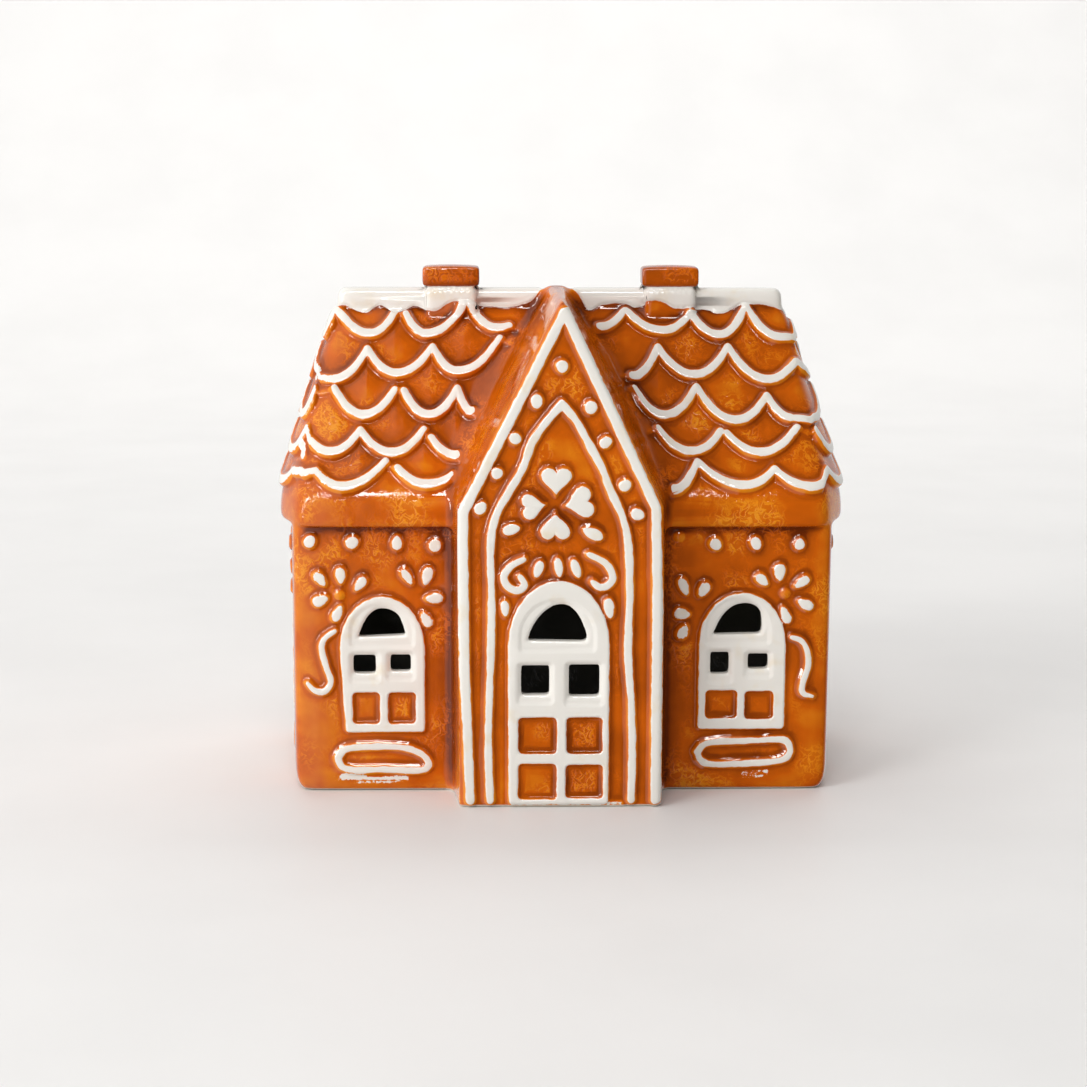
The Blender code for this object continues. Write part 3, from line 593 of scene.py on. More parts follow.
class Face:
    """A flat face that takes icing, with its own across, up and outward directions."""

    def __init__(self, origin, across, up):
        self.origin = np.array(origin, np.float64)
        self.across = np.array(across, np.float64)
        self.up = np.array(up, np.float64)
        self.out = np.cross(self.across, self.up)
        self.marks = []
        self.recesses = []

    def places(self, points):
        """Where the points lie across and up the face."""
        offset = points - self.origin
        return np.stack([offset @ self.across, offset @ self.up], axis=1)

    def relief(self, points, sizes):
        """The height of the relief at each point, the distance to the white, and its wear."""
        places = self.places(points)
        height = np.zeros(len(points))
        icing = np.full(len(points), FAR)
        wear = np.zeros(len(points))
        for mark in self.marks:
            near = np.nonzero(np.all((places > mark.low) & (places < mark.high), axis=1))[0]
            if not len(near):
                continue
            gap = mark.gap(places[near])
            height[near] = np.maximum(height[near], mark.rise(gap))
            if mark.painted:
                wear[near] = np.where(gap < icing[near], mark.wear, wear[near])
                icing[near] = np.minimum(icing[near], gap)
        for recess in self.recesses:
            low = recess.min(axis=0) - RECESS_MARGIN
            high = recess.max(axis=0) + RECESS_MARGIN
            near = np.nonzero(np.all((places > low) & (places < high), axis=1))[0]
            if len(near):
                depth = 1.0 - ease(outline_distance(places[near], recess), -RECESS_SOFT, RECESS_SOFT)
                height[near] -= sizes.recess / MM * depth
        return height, icing, wear

    def solid_over(self, outline, rounding, depth):
        """A form over the outline, from outside the face down to the depth."""
        points = []
        for level in (HOLE_AHEAD, -depth):
            for u, v in outline:
                points.append(self.origin + self.across * u + self.up * v + self.out * level)
        return Form(points, rounding, small=True)


class Slope(Face):
    """One side of the roof with its shingles, from the middle of one end round to the other."""

    def __init__(self, end, rows, snow):
        up = (0, -end * SLOPE_RUN / SLOPE_LENGTH, SLOPE_RISE / SLOPE_LENGTH)
        super().__init__((0, end * EAVE_HALF[1], EAVE_TOP), (-end, 0, 0), up)
        self.turn = -end
        self.snow = np.array(snow)
        self.snow[:, 1] = SNOW_DIP + (self.snow[:, 1] - SNOW_DIP) * SNOW_SHARE
        self.rows = []
        for marks in rows:
            line = np.concatenate([mark.points for mark in marks])
            self.rows.append((line[np.argsort(line[:, 0])], marks))

    def places(self, points):
        """Across is measured round the hip onto the end, up along the slope."""
        x = points[:, 0] * self.turn
        y = points[:, 1] * self.turn
        up = (points - self.origin) @ self.up
        level = (points[:, 2] - EAVE_TOP) * SLOPE_LENGTH / SLOPE_RISE
        share = np.clip(level / SLOPE_LENGTH, 0.0, 1.0)
        edge_x = EAVE_HALF[0] - CORNER + (RIDGE_HALF[0] - EAVE_HALF[0] + CORNER) * share
        edge_y = -EAVE_HALF[1] + SLOPE_RUN * share
        past = np.maximum(np.abs(x) - edge_x, 0.0)
        round_hip = np.hypot(past, np.maximum(y - edge_y, 0.0))
        on_end = ease(past, 0.0, 1.5)
        across = np.where(past > 0.0, edge_x + round_hip * on_end + past * (1.0 - on_end), np.abs(x))
        return np.stack([np.sign(x) * across, up + (level - up) * on_end], axis=1)

    def relief(self, points, sizes):
        """As on a flat face, with the shingles' steps and the snow's edge added."""
        height, icing, wear = super().relief(points, sizes)
        places = self.places(points)
        across, up = places.T
        step = sizes.shingle_step / MM
        above = np.full(len(points), SLOPE_LENGTH + 12.0)
        ramp = np.zeros(len(points))
        for line, marks in reversed(self.rows):
            gap = np.full(len(points), FAR)
            for mark in marks:
                near = np.nonzero(np.all((places > mark.low) & (places < mark.high), axis=1))[0]
                if len(near):
                    gap[near] = np.minimum(gap[near], mark.gap(places[near]))
            height = np.maximum(height, marks[0].rise(gap))
            icing = np.minimum(icing, gap)
            edge = np.interp(across, *line.T)
            share = (above - up) / np.maximum(above - edge, 1.0)
            slant = step * ease(share, 0.0, 1.15)
            ramp = np.where((up >= edge) & (up < above), np.maximum(ramp, slant), ramp)
            fall = np.minimum(gap, edge - up - SCALLOP_WIDTH[0])
            foot = step * (1.0 - ease(fall, STEP_FOOT, STEP_FOOT + STEP_FALL))
            ramp = np.where(up < edge, np.maximum(ramp, foot), ramp)
            above = edge
        snow_gap = np.interp(across, *self.snow.T) - up
        cover = 1.0 - ease(snow_gap, -SNOW_FLANK, SNOW_FLANK)
        height = np.maximum((height + ramp) * (1.0 - 0.7 * cover), sizes.snow_height / MM * cover)
        top = points[:, 2]
        height = height * (1.0 - ease(top, BAND_BOTTOM - 1.6, BAND_BOTTOM - 0.4))
        icing = np.minimum(icing, snow_gap * 0.9)
        near_band = np.abs(np.abs(points[:, 0]) - CHIMNEY_X) < BAND_HALF[0] + 2.0
        icing = np.where(near_band, np.maximum(icing, (top - BAND_BOTTOM + 0.1) * 1.5), icing)
        return height, icing, wear


def shingle_strokes(row, side):
    """The strokes of one row on one side of the porch, carried on round the hip to the end's middle."""
    strokes = [list(stroke) for stroke in row["left" if side < 0 else "right"]]
    low, high = row["bottom"], row["cusp"]
    level = (low + high) / 2 / SLOPE_LENGTH
    corner = EAVE_HALF[0] - CORNER
    hip = corner + (RIDGE_HALF[0] - corner) * level
    middle = hip + math.hypot(EAVE_BULGE + CORNER, EAVE_HALF[1]) * (1 - level)
    last = strokes[-1][-1]
    if abs(last[0]) < hip - 3.0:
        last = (side * (hip + 2.0), high)
        strokes.append([last])
    at_cusp = last[1] > (low + high) / 2
    rest = middle - abs(last[0])
    count = max(1, round(rest / (SHINGLE_PITCH / 2)))
    count += (count % 2 == 1) != at_cusp
    for step in range(1, count + 1):
        at_cusp = not at_cusp
        strokes[-1].append((side * (abs(last[0]) + rest * step / count), high if at_cusp else low))
    return strokes


def scallops(stroke, half_width, lift):
    """One stroke of icing through its bottoms and cusps, thinner at the cusps."""
    line = []
    for start, stop in zip(stroke, stroke[1:]):
        base, rise = min(start[1], stop[1]), abs(stop[1] - start[1])
        for step in range(SHINGLE_POINTS):
            t = step / SHINGLE_POINTS
            share = t if stop[1] > start[1] else 1.0 - t
            width = SCALLOP_WIDTH[1] + (SCALLOP_WIDTH[0] - SCALLOP_WIDTH[1]) * share
            across = start[0] + (stop[0] - start[0]) * t
            line.append((across, base + rise * share ** SHINGLE_POWER, width))
    line = np.array(line + [(*stroke[-1], line[-1][2])])
    return Mark(line[:, :2], lift, half_width * line[:, 2])


def regular_row(row, number):
    """A row of the back slope, by the regular pitch, each row half a pitch from the last."""
    heights = (row["bottom"], row["cusp"]) if number % 2 else (row["cusp"], row["bottom"])
    right = tuple((SHINGLE_PITCH / 2 * step, heights[step % 2]) for step in range(8))
    return {**row, "right": (right,), "left": (tuple((-across, up) for across, up in right),)}


class House:
    """The house as rounded forms, and the faces that carry its icing."""

    def __init__(self, sizes):
        self.sizes = sizes
        self.walls = Form(
            plan([h - FOOT_ROUND for h in WALL_HALF], WALL_BULGE, WALL_FLAT, 0.0, WALL_CORNER)
            + plan(WALL_HALF, WALL_BULGE, WALL_FLAT, 2 * FOOT_ROUND, WALL_CORNER)
            + plan(WALL_HALF, WALL_BULGE, WALL_FLAT, WALL_TOP + WALL_LAP, WALL_CORNER), ROUND["walls"])
        ridge = bar(0.0, RIDGE_HALF, RIDGE_TOP, RIDGE_TOP)
        eaves = plan(EAVE_HALF, EAVE_BULGE, EAVE_FLAT, WALL_TOP)
        eaves += plan(EAVE_HALF, EAVE_BULGE, EAVE_FLAT, EAVE_TOP)
        self.roof = Form(eaves + ridge, ROUND["roof"])
        self.porch = Form(
            porch_section(-PORCH_FRONT, PORCH_HALF, PORCH_NOSE)
            + porch_section(0.0, PORCH_HALF + PORCH_FLARE, PORCH_BACK_NOSE), ROUND["porch"])
        self.tops = [Form(bar(0.0, SNOW_HALF, SNOW_BOTTOM, SNOW_TOP), ROUND["snow"], small=True)]
        self.bands = []
        for side in (-1, 1):
            stem = bar(side * CHIMNEY_X, STEM_HALF, STEM_BOTTOM, BAND_BOTTOM + STEM_LAP)
            self.tops.append(Form(stem, ROUND["top"], small=True))
            band = bar(side * CHIMNEY_X, BAND_HALF, BAND_BOTTOM, BAND_TOP)
            inner = [half * BAND_CROWN for half in BAND_HALF]
            band += bar(side * CHIMNEY_X, inner, BAND_BOTTOM, BAND_TOP + BAND_ARCH)
            self.bands.append(Form(band, ROUND["band"], small=True))
        inside = [half - SHELL for half in WALL_HALF]
        peak = RIDGE_TOP - ROOF_SHELL * SLOPE_LENGTH / SLOPE_RUN
        knee = peak - (inside[1] - RIDGE_HALF[1]) * SLOPE_RISE / SLOPE_RUN
        self.rooms = [
            Form(plan(inside, 0.0, 0.0, ROOM_BOTTOM) + plan(inside, 0.0, 0.0, knee)
                 + bar(0.0, (RIDGE_HALF[0] - ROOF_SHELL, RIDGE_HALF[1]), peak, peak), ROUND["room"]),
            Form(porch_section(-PORCH_FRONT + SHELL, PORCH_HALF, PORCH_NOSE, SHELL, ROOM_BOTTOM)
                 + porch_section(-WALL_HALF[1] + 2 * SHELL, PORCH_HALF, PORCH_NOSE, SHELL, ROOM_BOTTOM),
                 ROUND["room"]),
        ]
        self.faces = {}
        self.holes = []
        self.random = random.Random(11)
        self.ice()

    def ice(self):
        """Puts the icing on every face."""
        lift = self.sizes.line_height / MM
        front = Face((0, -WALL_HALF[1], 0), (1, 0, 0), (0, 0, 1))
        back = Face((0, WALL_HALF[1], 0), (-1, 0, 0), (0, 0, 1))
        porch = Face((0, -PORCH_FRONT, 0), (1, 0, 0), (0, 0, 1))
        self.faces = {"front": front, "back": back, "porch": porch}
        for face, shape in ((front, WINDOW_LEFT), (front, WINDOW_RIGHT), (porch, DOOR)):
            self.window(face, shape, 0.0)
        self.wing(front, LEFT_PETALS, LEFT_DOTS, LEFT_SCROLL, LEFT_BOX)
        self.wing(front, RIGHT_PETALS, RIGHT_DOTS, RIGHT_SCROLL, RIGHT_BOX)
        for u, v in BARE_DOTS:
            front.marks.append(Mark(oval(u, v, BARE_DOT, BARE_DOT, 0), lift * 0.8, painted=False))
        for smudge in SMUDGES:
            front.marks.append(Mark(smudge, 0.0, SMUDGE["half"], wear=SMUDGE["wear"]))
        for dab in SHOULDER_DABS:
            porch.marks.append(Mark(dab, 0.0, 0.4, wear=0.4))
        for side in (-1, 1):
            middle = side * (WINDOW_LEFT["frame"][0] + WINDOW_LEFT["frame"][1]) / 2
            place = [(middle - side * u, v) for u, v in SCROLL_PLAIN]
            petals = [(middle - side * u, v, -side * tilt) for u, v, tilt in PLAIN_PETALS]
            dots = [(middle - side * u, v) for u, v in PLAIN_DOTS]
            line = (middle + PLAIN_BOX[0], middle + PLAIN_BOX[1], *PLAIN_BOX[2:])
            self.window(back, WINDOW_PLAIN, middle, pierced=False)
            self.wing(back, petals, dots, place, line)
            end = Face((side * (WALL_HALF[0] + WALL_BULGE), 0, 0), (0, side, 0), (0, 0, 1))
            self.faces[f"end {side}"] = end
            self.window(end, WINDOW_PLAIN, 0.0)
            self.wing(end, END_PETALS, END_DOTS, None, PLAIN_BOX)
        for spot in BACK_HEARTS:
            back.marks.append(Mark(heart(*spot), lift))
        self.porch_icing(porch, lift)
        self.roof_icing(lift)

    def wing(self, face, petals, dots, scroll, box):
        """Petals, dots, the scroll and the window box beside one window."""
        lift = self.sizes.line_height / MM
        radius = self.sizes.dot / MM
        draw = self.random.uniform
        for u, v, tilt in petals:
            half = [size * draw(0.88, 1.06) for size in PETAL_HALF]
            face.marks.append(Mark(oval(u, v, *half, tilt, point=0.5), lift, wear=draw(-0.3, 0.3)))
        for u, v in dots:
            face.marks.append(self.dot(u, v, radius))
        if scroll:
            line = smooth_line(scroll)
            face.marks.append(Mark(line, lift, tapered(SCROLL_LINE / 2 * 1.1, len(line))))
        box = capsule(box) if len(box) == 4 else smooth_line(box + box[:1])
        face.marks.append(Mark(box, lift * 0.9, BOX_LINE / 2 * uneven(1.0, len(box))))

    def dot(self, u, v, radius):
        """A dot of icing, never quite round."""
        draw = self.random.uniform
        across, along = radius * draw(0.86, 1.06), radius * draw(0.86, 1.14)
        shape = oval(u, v, across, along, draw(0, 180), point=draw(0.0, 0.35))
        return Mark(shape, self.sizes.line_height / MM)

    def window(self, face, shape, middle, pierced=True):
        """A raised white plate with sunk brown panes, and recesses round the holes through it."""
        def moved(outline):
            return [(u + middle, v) for u, v in outline]

        left, right, bottom, spring, rise, lean = shape["frame"]
        plate = moved(rounded(arch((left, right, bottom, spring), rise, lean), PLATE_CORNER))
        panes = [moved(rounded(rectangle(box), PANE_CORNER)) for box in shape["panes"]]
        holes = [moved(grown(shape["fan"], HOLE_GROWTH))]
        holes += [moved(rectangle(box, HOLE_GROWTH * 0.8)) for box in shape["lights"]]
        if pierced:
            depth = SHELL + WALL_BULGE + HOLE_PAST
            for hole in holes:
                self.holes.append((face, face.solid_over(hole, ROUND["hole"], depth)))
            for box in shape["lights"]:
                side, below, above = RECESS_LIGHT
                field = (box[0] - side, box[1] + side, box[2] - below, box[3] + above)
                face.recesses.append(np.array(moved(rounded(rectangle(field), PANE_CORNER))))
            side, below, above = RECESS_FAN
            across, up = zip(*shape["fan"])
            spring = min(up) + 1.5
            base = (min(across) - side, max(across) + side, min(up) - below, spring)
            field = arch(base, max(up) + above - spring)
            face.recesses.append(np.array(moved(rounded(field, PANE_CORNER))))
        else:
            panes += holes
        face.marks.append(Mark(plate, self.sizes.plate_height / MM, cuts=panes, flank=PLATE_FLANK))

    def porch_icing(self, face, lift):
        """The lines, dots, hearts, curls and leaves of the porch front."""
        half = self.sizes.line_width / MM / 2
        face.marks.append(Mark(TRIM, lift, half * 1.2))
        for inner in (INNER_LEFT, INNER_RIGHT):
            line = smooth_line(inner)
            face.marks.append(Mark(line, lift, half * uneven(0.98, len(line))))
        left, right = DOOR["frame"][:2]
        face.marks.append(Mark([(left + 1, 1.2), (right + 4, 1.2)], lift * 0.4, 0.45, wear=0.25))
        radius = self.sizes.dot / MM
        for u, v in GABLE_DOTS:
            face.marks.append(self.dot(u, v, radius))
        for spot in HEARTS:
            face.marks.append(Mark(heart(*spot), lift))
        for shape in DOOR_LEAVES + DOOR_TEARS + DOOR_PETALS:
            face.marks.append(Mark(oval(*shape, point=0.25), lift))
        for curl in (DOOR_CURL_LEFT, DOOR_CURL_RIGHT):
            line = smooth_line(curl)
            face.marks.append(Mark(line, lift, tapered(half, len(line))))

    def roof_icing(self, lift):
        """The rows of scallops and the snow's edge, as the photo shows in front and regular at the back."""
        half = self.sizes.line_width / MM / 2
        reach = EAVE_HALF[0] + EAVE_HALF[1]
        steps = np.arange(-reach, reach, 1.0)
        wave = SNOW_BACK["edge"] + SNOW_BACK["wave"] * np.cos(math.tau * steps / SNOW_BACK["pitch"])
        snow_back = np.stack([steps, wave], axis=1)
        for name, end, rows, snow in (
            ("slope front", -1, SHINGLES, smooth_line(SNOW_LEFT + SNOW_RIGHT, 6)),
            ("slope back", 1, [regular_row(row, n) for n, row in enumerate(SHINGLES)], snow_back),
        ):
            made = []
            for row in rows:
                strokes = shingle_strokes(row, -1) + shingle_strokes(row, 1)
                made.append([scallops(stroke, half, lift * SCALLOP_HEIGHT) for stroke in strokes])
            self.faces[name] = Slope(end, made, snow)
        for dab in HIP_DABS:
            mark = Mark(dab, lift * HIP_DAB["height"], half * HIP_DAB["width"], wear=HIP_DAB["wear"])
            self.faces["slope front"].marks.append(mark)

    def body(self, points):
        """The walls, the roof and what stands on the ridge, and the porch, before they are joined."""
        body = join(self.walls.rise(points), self.roof.rise(points), MEET["eave"])
        for top in self.tops:
            body = join(body, top.rise(points), MEET["top"])
        for band in self.bands:
            body = join(body, band.rise(points), MEET["band"])
        return body, self.porch.rise(points)

    def surface(self, points):
        """How far outside the fired form each point is, and the direction in which that grows."""
        body, porch = self.body(points)
        in_valley = ease(points[:, 2], *VALLEY_START) * (1.0 - ease(points[:, 2], *VALLEY_STOP))
        width = MEET["porch"] + (MEET["valley"] - MEET["porch"]) * in_valley
        whole = join(body, porch, width)
        inside = join(self.rooms[0].rise(points), self.rooms[1].rise(points), MEET["inside"])
        whole = carve(whole, inside, MEET["inside"])
        for _, hole in self.holes:
            whole = carve(whole, hole.rise(points), MEET["hole"])
        return whole

    def in_chunks(self, points, work):
        """Runs the work on a part of the points at a time, and joins its results."""
        parts = [work(points[start:start + CHUNK]) for start in range(0, len(points), CHUNK)]
        return [np.concatenate(one) for one in zip(*parts)]

    def settle(self, points, rounds):
        """Moves the points onto the fired form. Returns them with the outward directions there."""
        for _ in range(rounds):
            value, slope = self.in_chunks(points, self.surface)
            square = np.maximum((slope ** 2).sum(axis=1), 0.05)
            points = points - slope * (value / square)[:, None]
        slope = self.in_chunks(points, self.surface)[1]
        return points, slope / np.linalg.norm(slope, axis=1, keepdims=True).clip(1e-6)

    def sort_faces(self, points, outward):
        """Which face each point lies on, how much of that face's relief shows there, and which points lie
        inside, to be painted dark as painted shade.
        """
        body, porch = self.in_chunks(points, lambda some: [part[0] for part in self.body(some)])
        on_porch = porch < body
        away = ease(porch - body, *PORCH_FADE)
        y, z = points.T[1:]
        face_of = np.full(len(points), "", dtype="<U12")
        share = np.zeros(len(points))
        for name in ("front", "back", "end -1", "end 1", "porch"):
            face = self.faces[name]
            depth = np.abs((points - face.origin) @ face.out)
            facing = outward @ face.out
            top = PORCH_APEX + 1.0 if name == "porch" else WALL_TOP - 0.2
            here = (depth < FACE_REACH) & (facing > FACING[0]) & (z < top)
            if name == "front":
                here &= ~on_porch
            face_of[here] = name
            share[here] = (ease(facing, *FACING) * (away if name == "front" else 1.0))[here]
        high = (z > EAVE_TOP - 0.6) & ~on_porch & (face_of != "porch")
        for name, here in (("slope front", high & (y < 0)), ("slope back", high & (y >= 0))):
            face_of[here] = name
            share[here] = away[here]
        flat = np.zeros((len(points), 3))
        inside = join(*[(room.rise(points)[0], flat) for room in self.rooms], 1.0)[0]
        # Points on the inner surfaces carry no icing and are painted the dark inside colour as painted shade
        inside_painted_shade = inside < ROOM_SKIN
        face_of[inside_painted_shade] = ""
        return face_of, share, inside_painted_shade

    def relief(self, points, face_of, share):
        """The height of the relief, the distance to the white and its wear at each point."""
        height = np.zeros(len(points))
        icing = np.full(len(points), FAR)
        wear = np.zeros(len(points))
        for name, face in self.faces.items():
            here = np.nonzero(face_of == name)[0]
            for start in range(0, len(here), CHUNK // 4):
                some = here[start:start + CHUNK // 4]
                height[some], icing[some], wear[some] = face.relief(points[some], self.sizes)
        return height * share, icing + (1.0 - share) * 1.5, wear


def net(house, step):
    """A mesh of quads over the fired form, from its distances on a grid."""
    low = np.array([-WALL_HALF[0] - 9.0, -PORCH_FRONT - 3.0, -3.0])
    high = np.array([WALL_HALF[0] + 9.0, EAVE_HALF[1] + 4.0, BAND_TOP + 4.0])
    counts = np.ceil((high - low) / step).astype(int) + 1
    axes = [low[i] + step * np.arange(counts[i]) for i in range(3)]
    value = np.empty(counts, np.float32)
    slab = max(1, CHUNK // (counts[1] * counts[2]))
    for start in range(0, counts[0], slab):
        slices = np.meshgrid(axes[0][start:start + slab], axes[1], axes[2], indexing="ij")
        grid = np.stack(slices, axis=-1)
        part = house.surface(grid.reshape(-1, 3).astype(np.float32))[0]
        value[start:start + slab] = part.reshape(grid.shape[:3])
    total = np.zeros((*(counts - 1), 3), np.float32)
    found = np.zeros(counts - 1, np.float32)
    crossings = []
    for axis in range(3):
        others = [i for i in range(3) if i != axis]
        first = np.moveaxis(value, axis, 0)[:-1]
        second = np.moveaxis(value, axis, 0)[1:]
        crossed = (first < 0) != (second < 0)
        share = np.where(crossed, first / np.where(first == second, 1, first - second), 0)
        crossings.append((axis, crossed, first < 0))
        for a in (0, 1):
            for b in (0, 1):
                across, up = crossed.shape[1] - 1, crossed.shape[2] - 1
                cut = (slice(None), slice(a, a + across), slice(b, b + up))
                hit = np.moveaxis(crossed[cut], 0, axis)
                along = np.moveaxis(share[cut], 0, axis)
                found += hit
                total[..., axis] += along * hit
                total[..., others[0]] += a * hit
                total[..., others[1]] += b * hit
    used = found > 0
    number = np.full(used.shape, -1, np.int64)
    number[used] = np.arange(used.sum())
    corner = np.argwhere(used)
    points = low + step * (corner + total[used] / found[used][:, None])
    quads = []
    for axis, crossed, starts_inside in crossings:
        cells = np.moveaxis(number, axis, 0)
        hit = crossed[:, 1:-1, 1:-1]
        i, j, k = np.nonzero(hit)
        ring = [cells[i, j, k], cells[i, j + 1, k], cells[i, j + 1, k + 1], cells[i, j, k + 1]]
        quad = np.stack(ring, axis=1)
        turn = starts_inside[:, 1:-1, 1:-1][i, j, k]
        if axis == 1:
            turn = ~turn
        quads.append(np.where(turn[:, None], quad, quad[:, ::-1]))
    return points, np.concatenate(quads)


def mesh_object(name, points, faces):
    """A new object in the scene, from points in millimetres."""
    data = bpy.data.meshes.new(name)
    data.from_pydata(points * MM, [], faces)
    data.update()
    item = bpy.data.objects.new(name, data)
    bpy.context.scene.collection.objects.link(item)
    return item


def coordinates(item):
    """The vertices of a mesh object, in millimetres."""
    flat = np.empty(len(item.data.vertices) * 3, np.float32)
    item.data.vertices.foreach_get("co", flat)
    return flat.reshape(-1, 3) / MM


def apply_modifier(item, kind, **settings):
    """Adds a modifier to the object and applies it."""
    modifier = item.modifiers.new(kind.title(), kind)
    for name, value in settings.items():
        setattr(modifier, name, value)
    with bpy.context.temp_override(object=item, active_object=item, selected_objects=[item]):
        bpy.ops.object.modifier_apply(modifier=modifier.name)


def tangents(outward):
    """Two directions along the surface at each point."""
    side = np.where(np.abs(outward[:, 2:]) < 0.8, [[0.0, 0.0, 1.0]], [[1.0, 0.0, 0.0]])
    first = np.cross(side, outward)
    first /= np.linalg.norm(first, axis=1, keepdims=True)
    return first, np.cross(outward, first)


def measure(house, points, outward, height, face_of, share):
    """The relief's normals, and how far each point lies in a hollow of the relief or of the form."""
    first, second = tangents(outward)
    slopes = []
    for along in (first, second):
        ahead = house.relief(points + along * NUDGE, face_of, share)[0]
        behind = house.relief(points - along * NUDGE, face_of, share)[0]
        slopes.append((ahead - behind)[:, None] / (2 * NUDGE) * along)
    normal = outward - slopes[0] - slopes[1]
    normal /= np.linalg.norm(normal, axis=1, keepdims=True)
    hollows = []
    for radius, count in ((RING_NEAR, 6), (RING_WIDE, 8)):
        total = np.zeros(len(points))
        for step in range(count):
            angle = math.tau * (step + 0.5) / count
            away = first * math.cos(angle) + second * math.sin(angle)
            total += house.relief(points + away * radius, face_of, share)[0]
        hollows.append(total / count - height)
    low = house.relief(points - second * RING_NEAR, face_of, share)[0]
    hollows.append(np.maximum(low - height, 0.0))
    # How far the point lies in a hollow of the form: it deepens the brown partly as pooled glaze and partly
    # as painted shade in corners
    form = np.zeros(len(points))
    for step in range(6):
        angle = math.tau * step / 6
        away = first * math.cos(angle) + second * math.sin(angle)
        ring = points + away * RING_FORM
        form -= house.in_chunks(ring, lambda some: house.surface(some)[:1])[0] / 6
    return normal, hollows, form


def hole_rims(house, points, icing, inside_painted_shade):
    """Makes the outer part of each hole's wall white, as the glaze runs round its edge."""
    for face, hole in house.holes:
        near = np.nonzero(np.all((points > hole.low) & (points < hole.high), axis=1))[0]
        if len(near):
            depth = -(points[near] - face.origin) @ face.out
            on_wall = (np.abs(hole.rise(points[near].astype(np.float32))[0]) < RIM_REACH) & (depth > 0.1)
            icing[near] = np.where(on_wall, np.minimum(icing[near], depth - RIM_DEPTH), icing[near])
            # Deeper in, the hole's wall takes the dark inside colour, a painted shade
            inside_painted_shade[near] |= on_wall & (depth > RIM_DEPTH)


def add_values(item, **values):
    """Stores one value for each vertex under each name, for the material to read."""
    for name, value in values.items():
        layer = item.data.attributes.new(name, "FLOAT", "POINT")
        layer.data.foreach_set("value", np.asarray(value, np.float32))


def own_frame_shift():
    """From the house's own frame to the CAD's: the back eave marks the back of the CAD box."""
    return Vector((0.0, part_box(NODE)[1][1] / MM - EAVE_HALF[1], 0.0))


class HouseSizes(bpy.types.PropertyGroup):
    """Sizes of the icing and of the mesh"""

    line_width: FloatProperty(
        name="Line width", description="Width of an icing line's white", default=0.0021, unit="LENGTH")
    line_height: FloatProperty(
        name="Line height", description="Height of the icing relief", default=0.001, unit="LENGTH")
    dot: FloatProperty(
        name="Dot radius", description="Radius of an icing dot", default=0.00185, unit="LENGTH")
    plate_height: FloatProperty(
        name="Plate height",
        description="How far windows and door stand out", default=0.001, unit="LENGTH")
    recess: FloatProperty(
        name="Recess",
        description="Depth of the sunk field round each hole", default=0.00045, unit="LENGTH")
    shingle_step: FloatProperty(
        name="Shingle step",
        description="How far a shingle stands over the next", default=0.0009, unit="LENGTH")
    snow_height: FloatProperty(
        name="Snow height", description="Height of the snow's edge", default=0.0008, unit="LENGTH")
    mesh_step: FloatProperty(
        name="Mesh step", description="Spacing of the first grid", default=0.001, unit="LENGTH")
    most_faces: IntProperty(
        name="Most faces", description="Triangles in the finished mesh", default=192000)


class GlazeColours(bpy.types.PropertyGroup):
    """Colours and polish of the glaze"""

    thin: FloatVectorProperty(
        name="Thin glaze", description="Where the glaze runs thin over an edge", subtype="COLOR",
        default=(0.86, 0.36, 0.03))
    honey: FloatVectorProperty(
        name="Honey", description="Flecks and open areas", subtype="COLOR", default=(0.80, 0.25, 0.009))
    brown: FloatVectorProperty(
        name="Brown", description="The main brown", subtype="COLOR", default=(0.60, 0.111, 0.002))
    # The pooled colour also stands for painted shade in the form's corners
    pooled: FloatVectorProperty(
        name="Pooled glaze", description="Where the glaze gathers",
        subtype="COLOR", default=(0.16, 0.024, 0.001))
    icing: FloatVectorProperty(
        name="Icing", description="White glaze of the icing",
        subtype="COLOR", default=(0.85, 0.82, 0.76))
    clay: FloatVectorProperty(
        name="Bare clay", description="The unglazed foot", subtype="COLOR", default=(0.68, 0.62, 0.52))
    # The inside colour is painted shade: a dark colour for the unlit inside of the house and the deep walls
    # of its holes
    inside: FloatVectorProperty(
        name="Inside", description="The dark inside", subtype="COLOR", default=(0.14, 0.13, 0.10))
    roughness: FloatProperty(
        name="Roughness", description="Roughness of the glaze", default=0.055, min=0, max=1)


class StageSettings(bpy.types.PropertyGroup):
    """Floor, lights and lens"""

    floor: FloatVectorProperty(
        name="Floor", description="Colour of the floor", subtype="COLOR", default=(0.80, 0.79, 0.775))
    floor_size: FloatProperty(
        name="Floor size", description="Width of the floor", default=12.0, unit="LENGTH")
    window_power: FloatProperty(
        name="Window", description="Power of each panel of the light at the left", default=3.4)
    fill_power: FloatProperty(name="Fill", description="Strength of the soft light", default=1.0)
    backdrop_power: FloatProperty(
        name="Backdrop", description="Power of the light on the sweep", default=14.0)
    lens: FloatProperty(name="Lens", description="Focal length", default=79.45, unit="CAMERA")


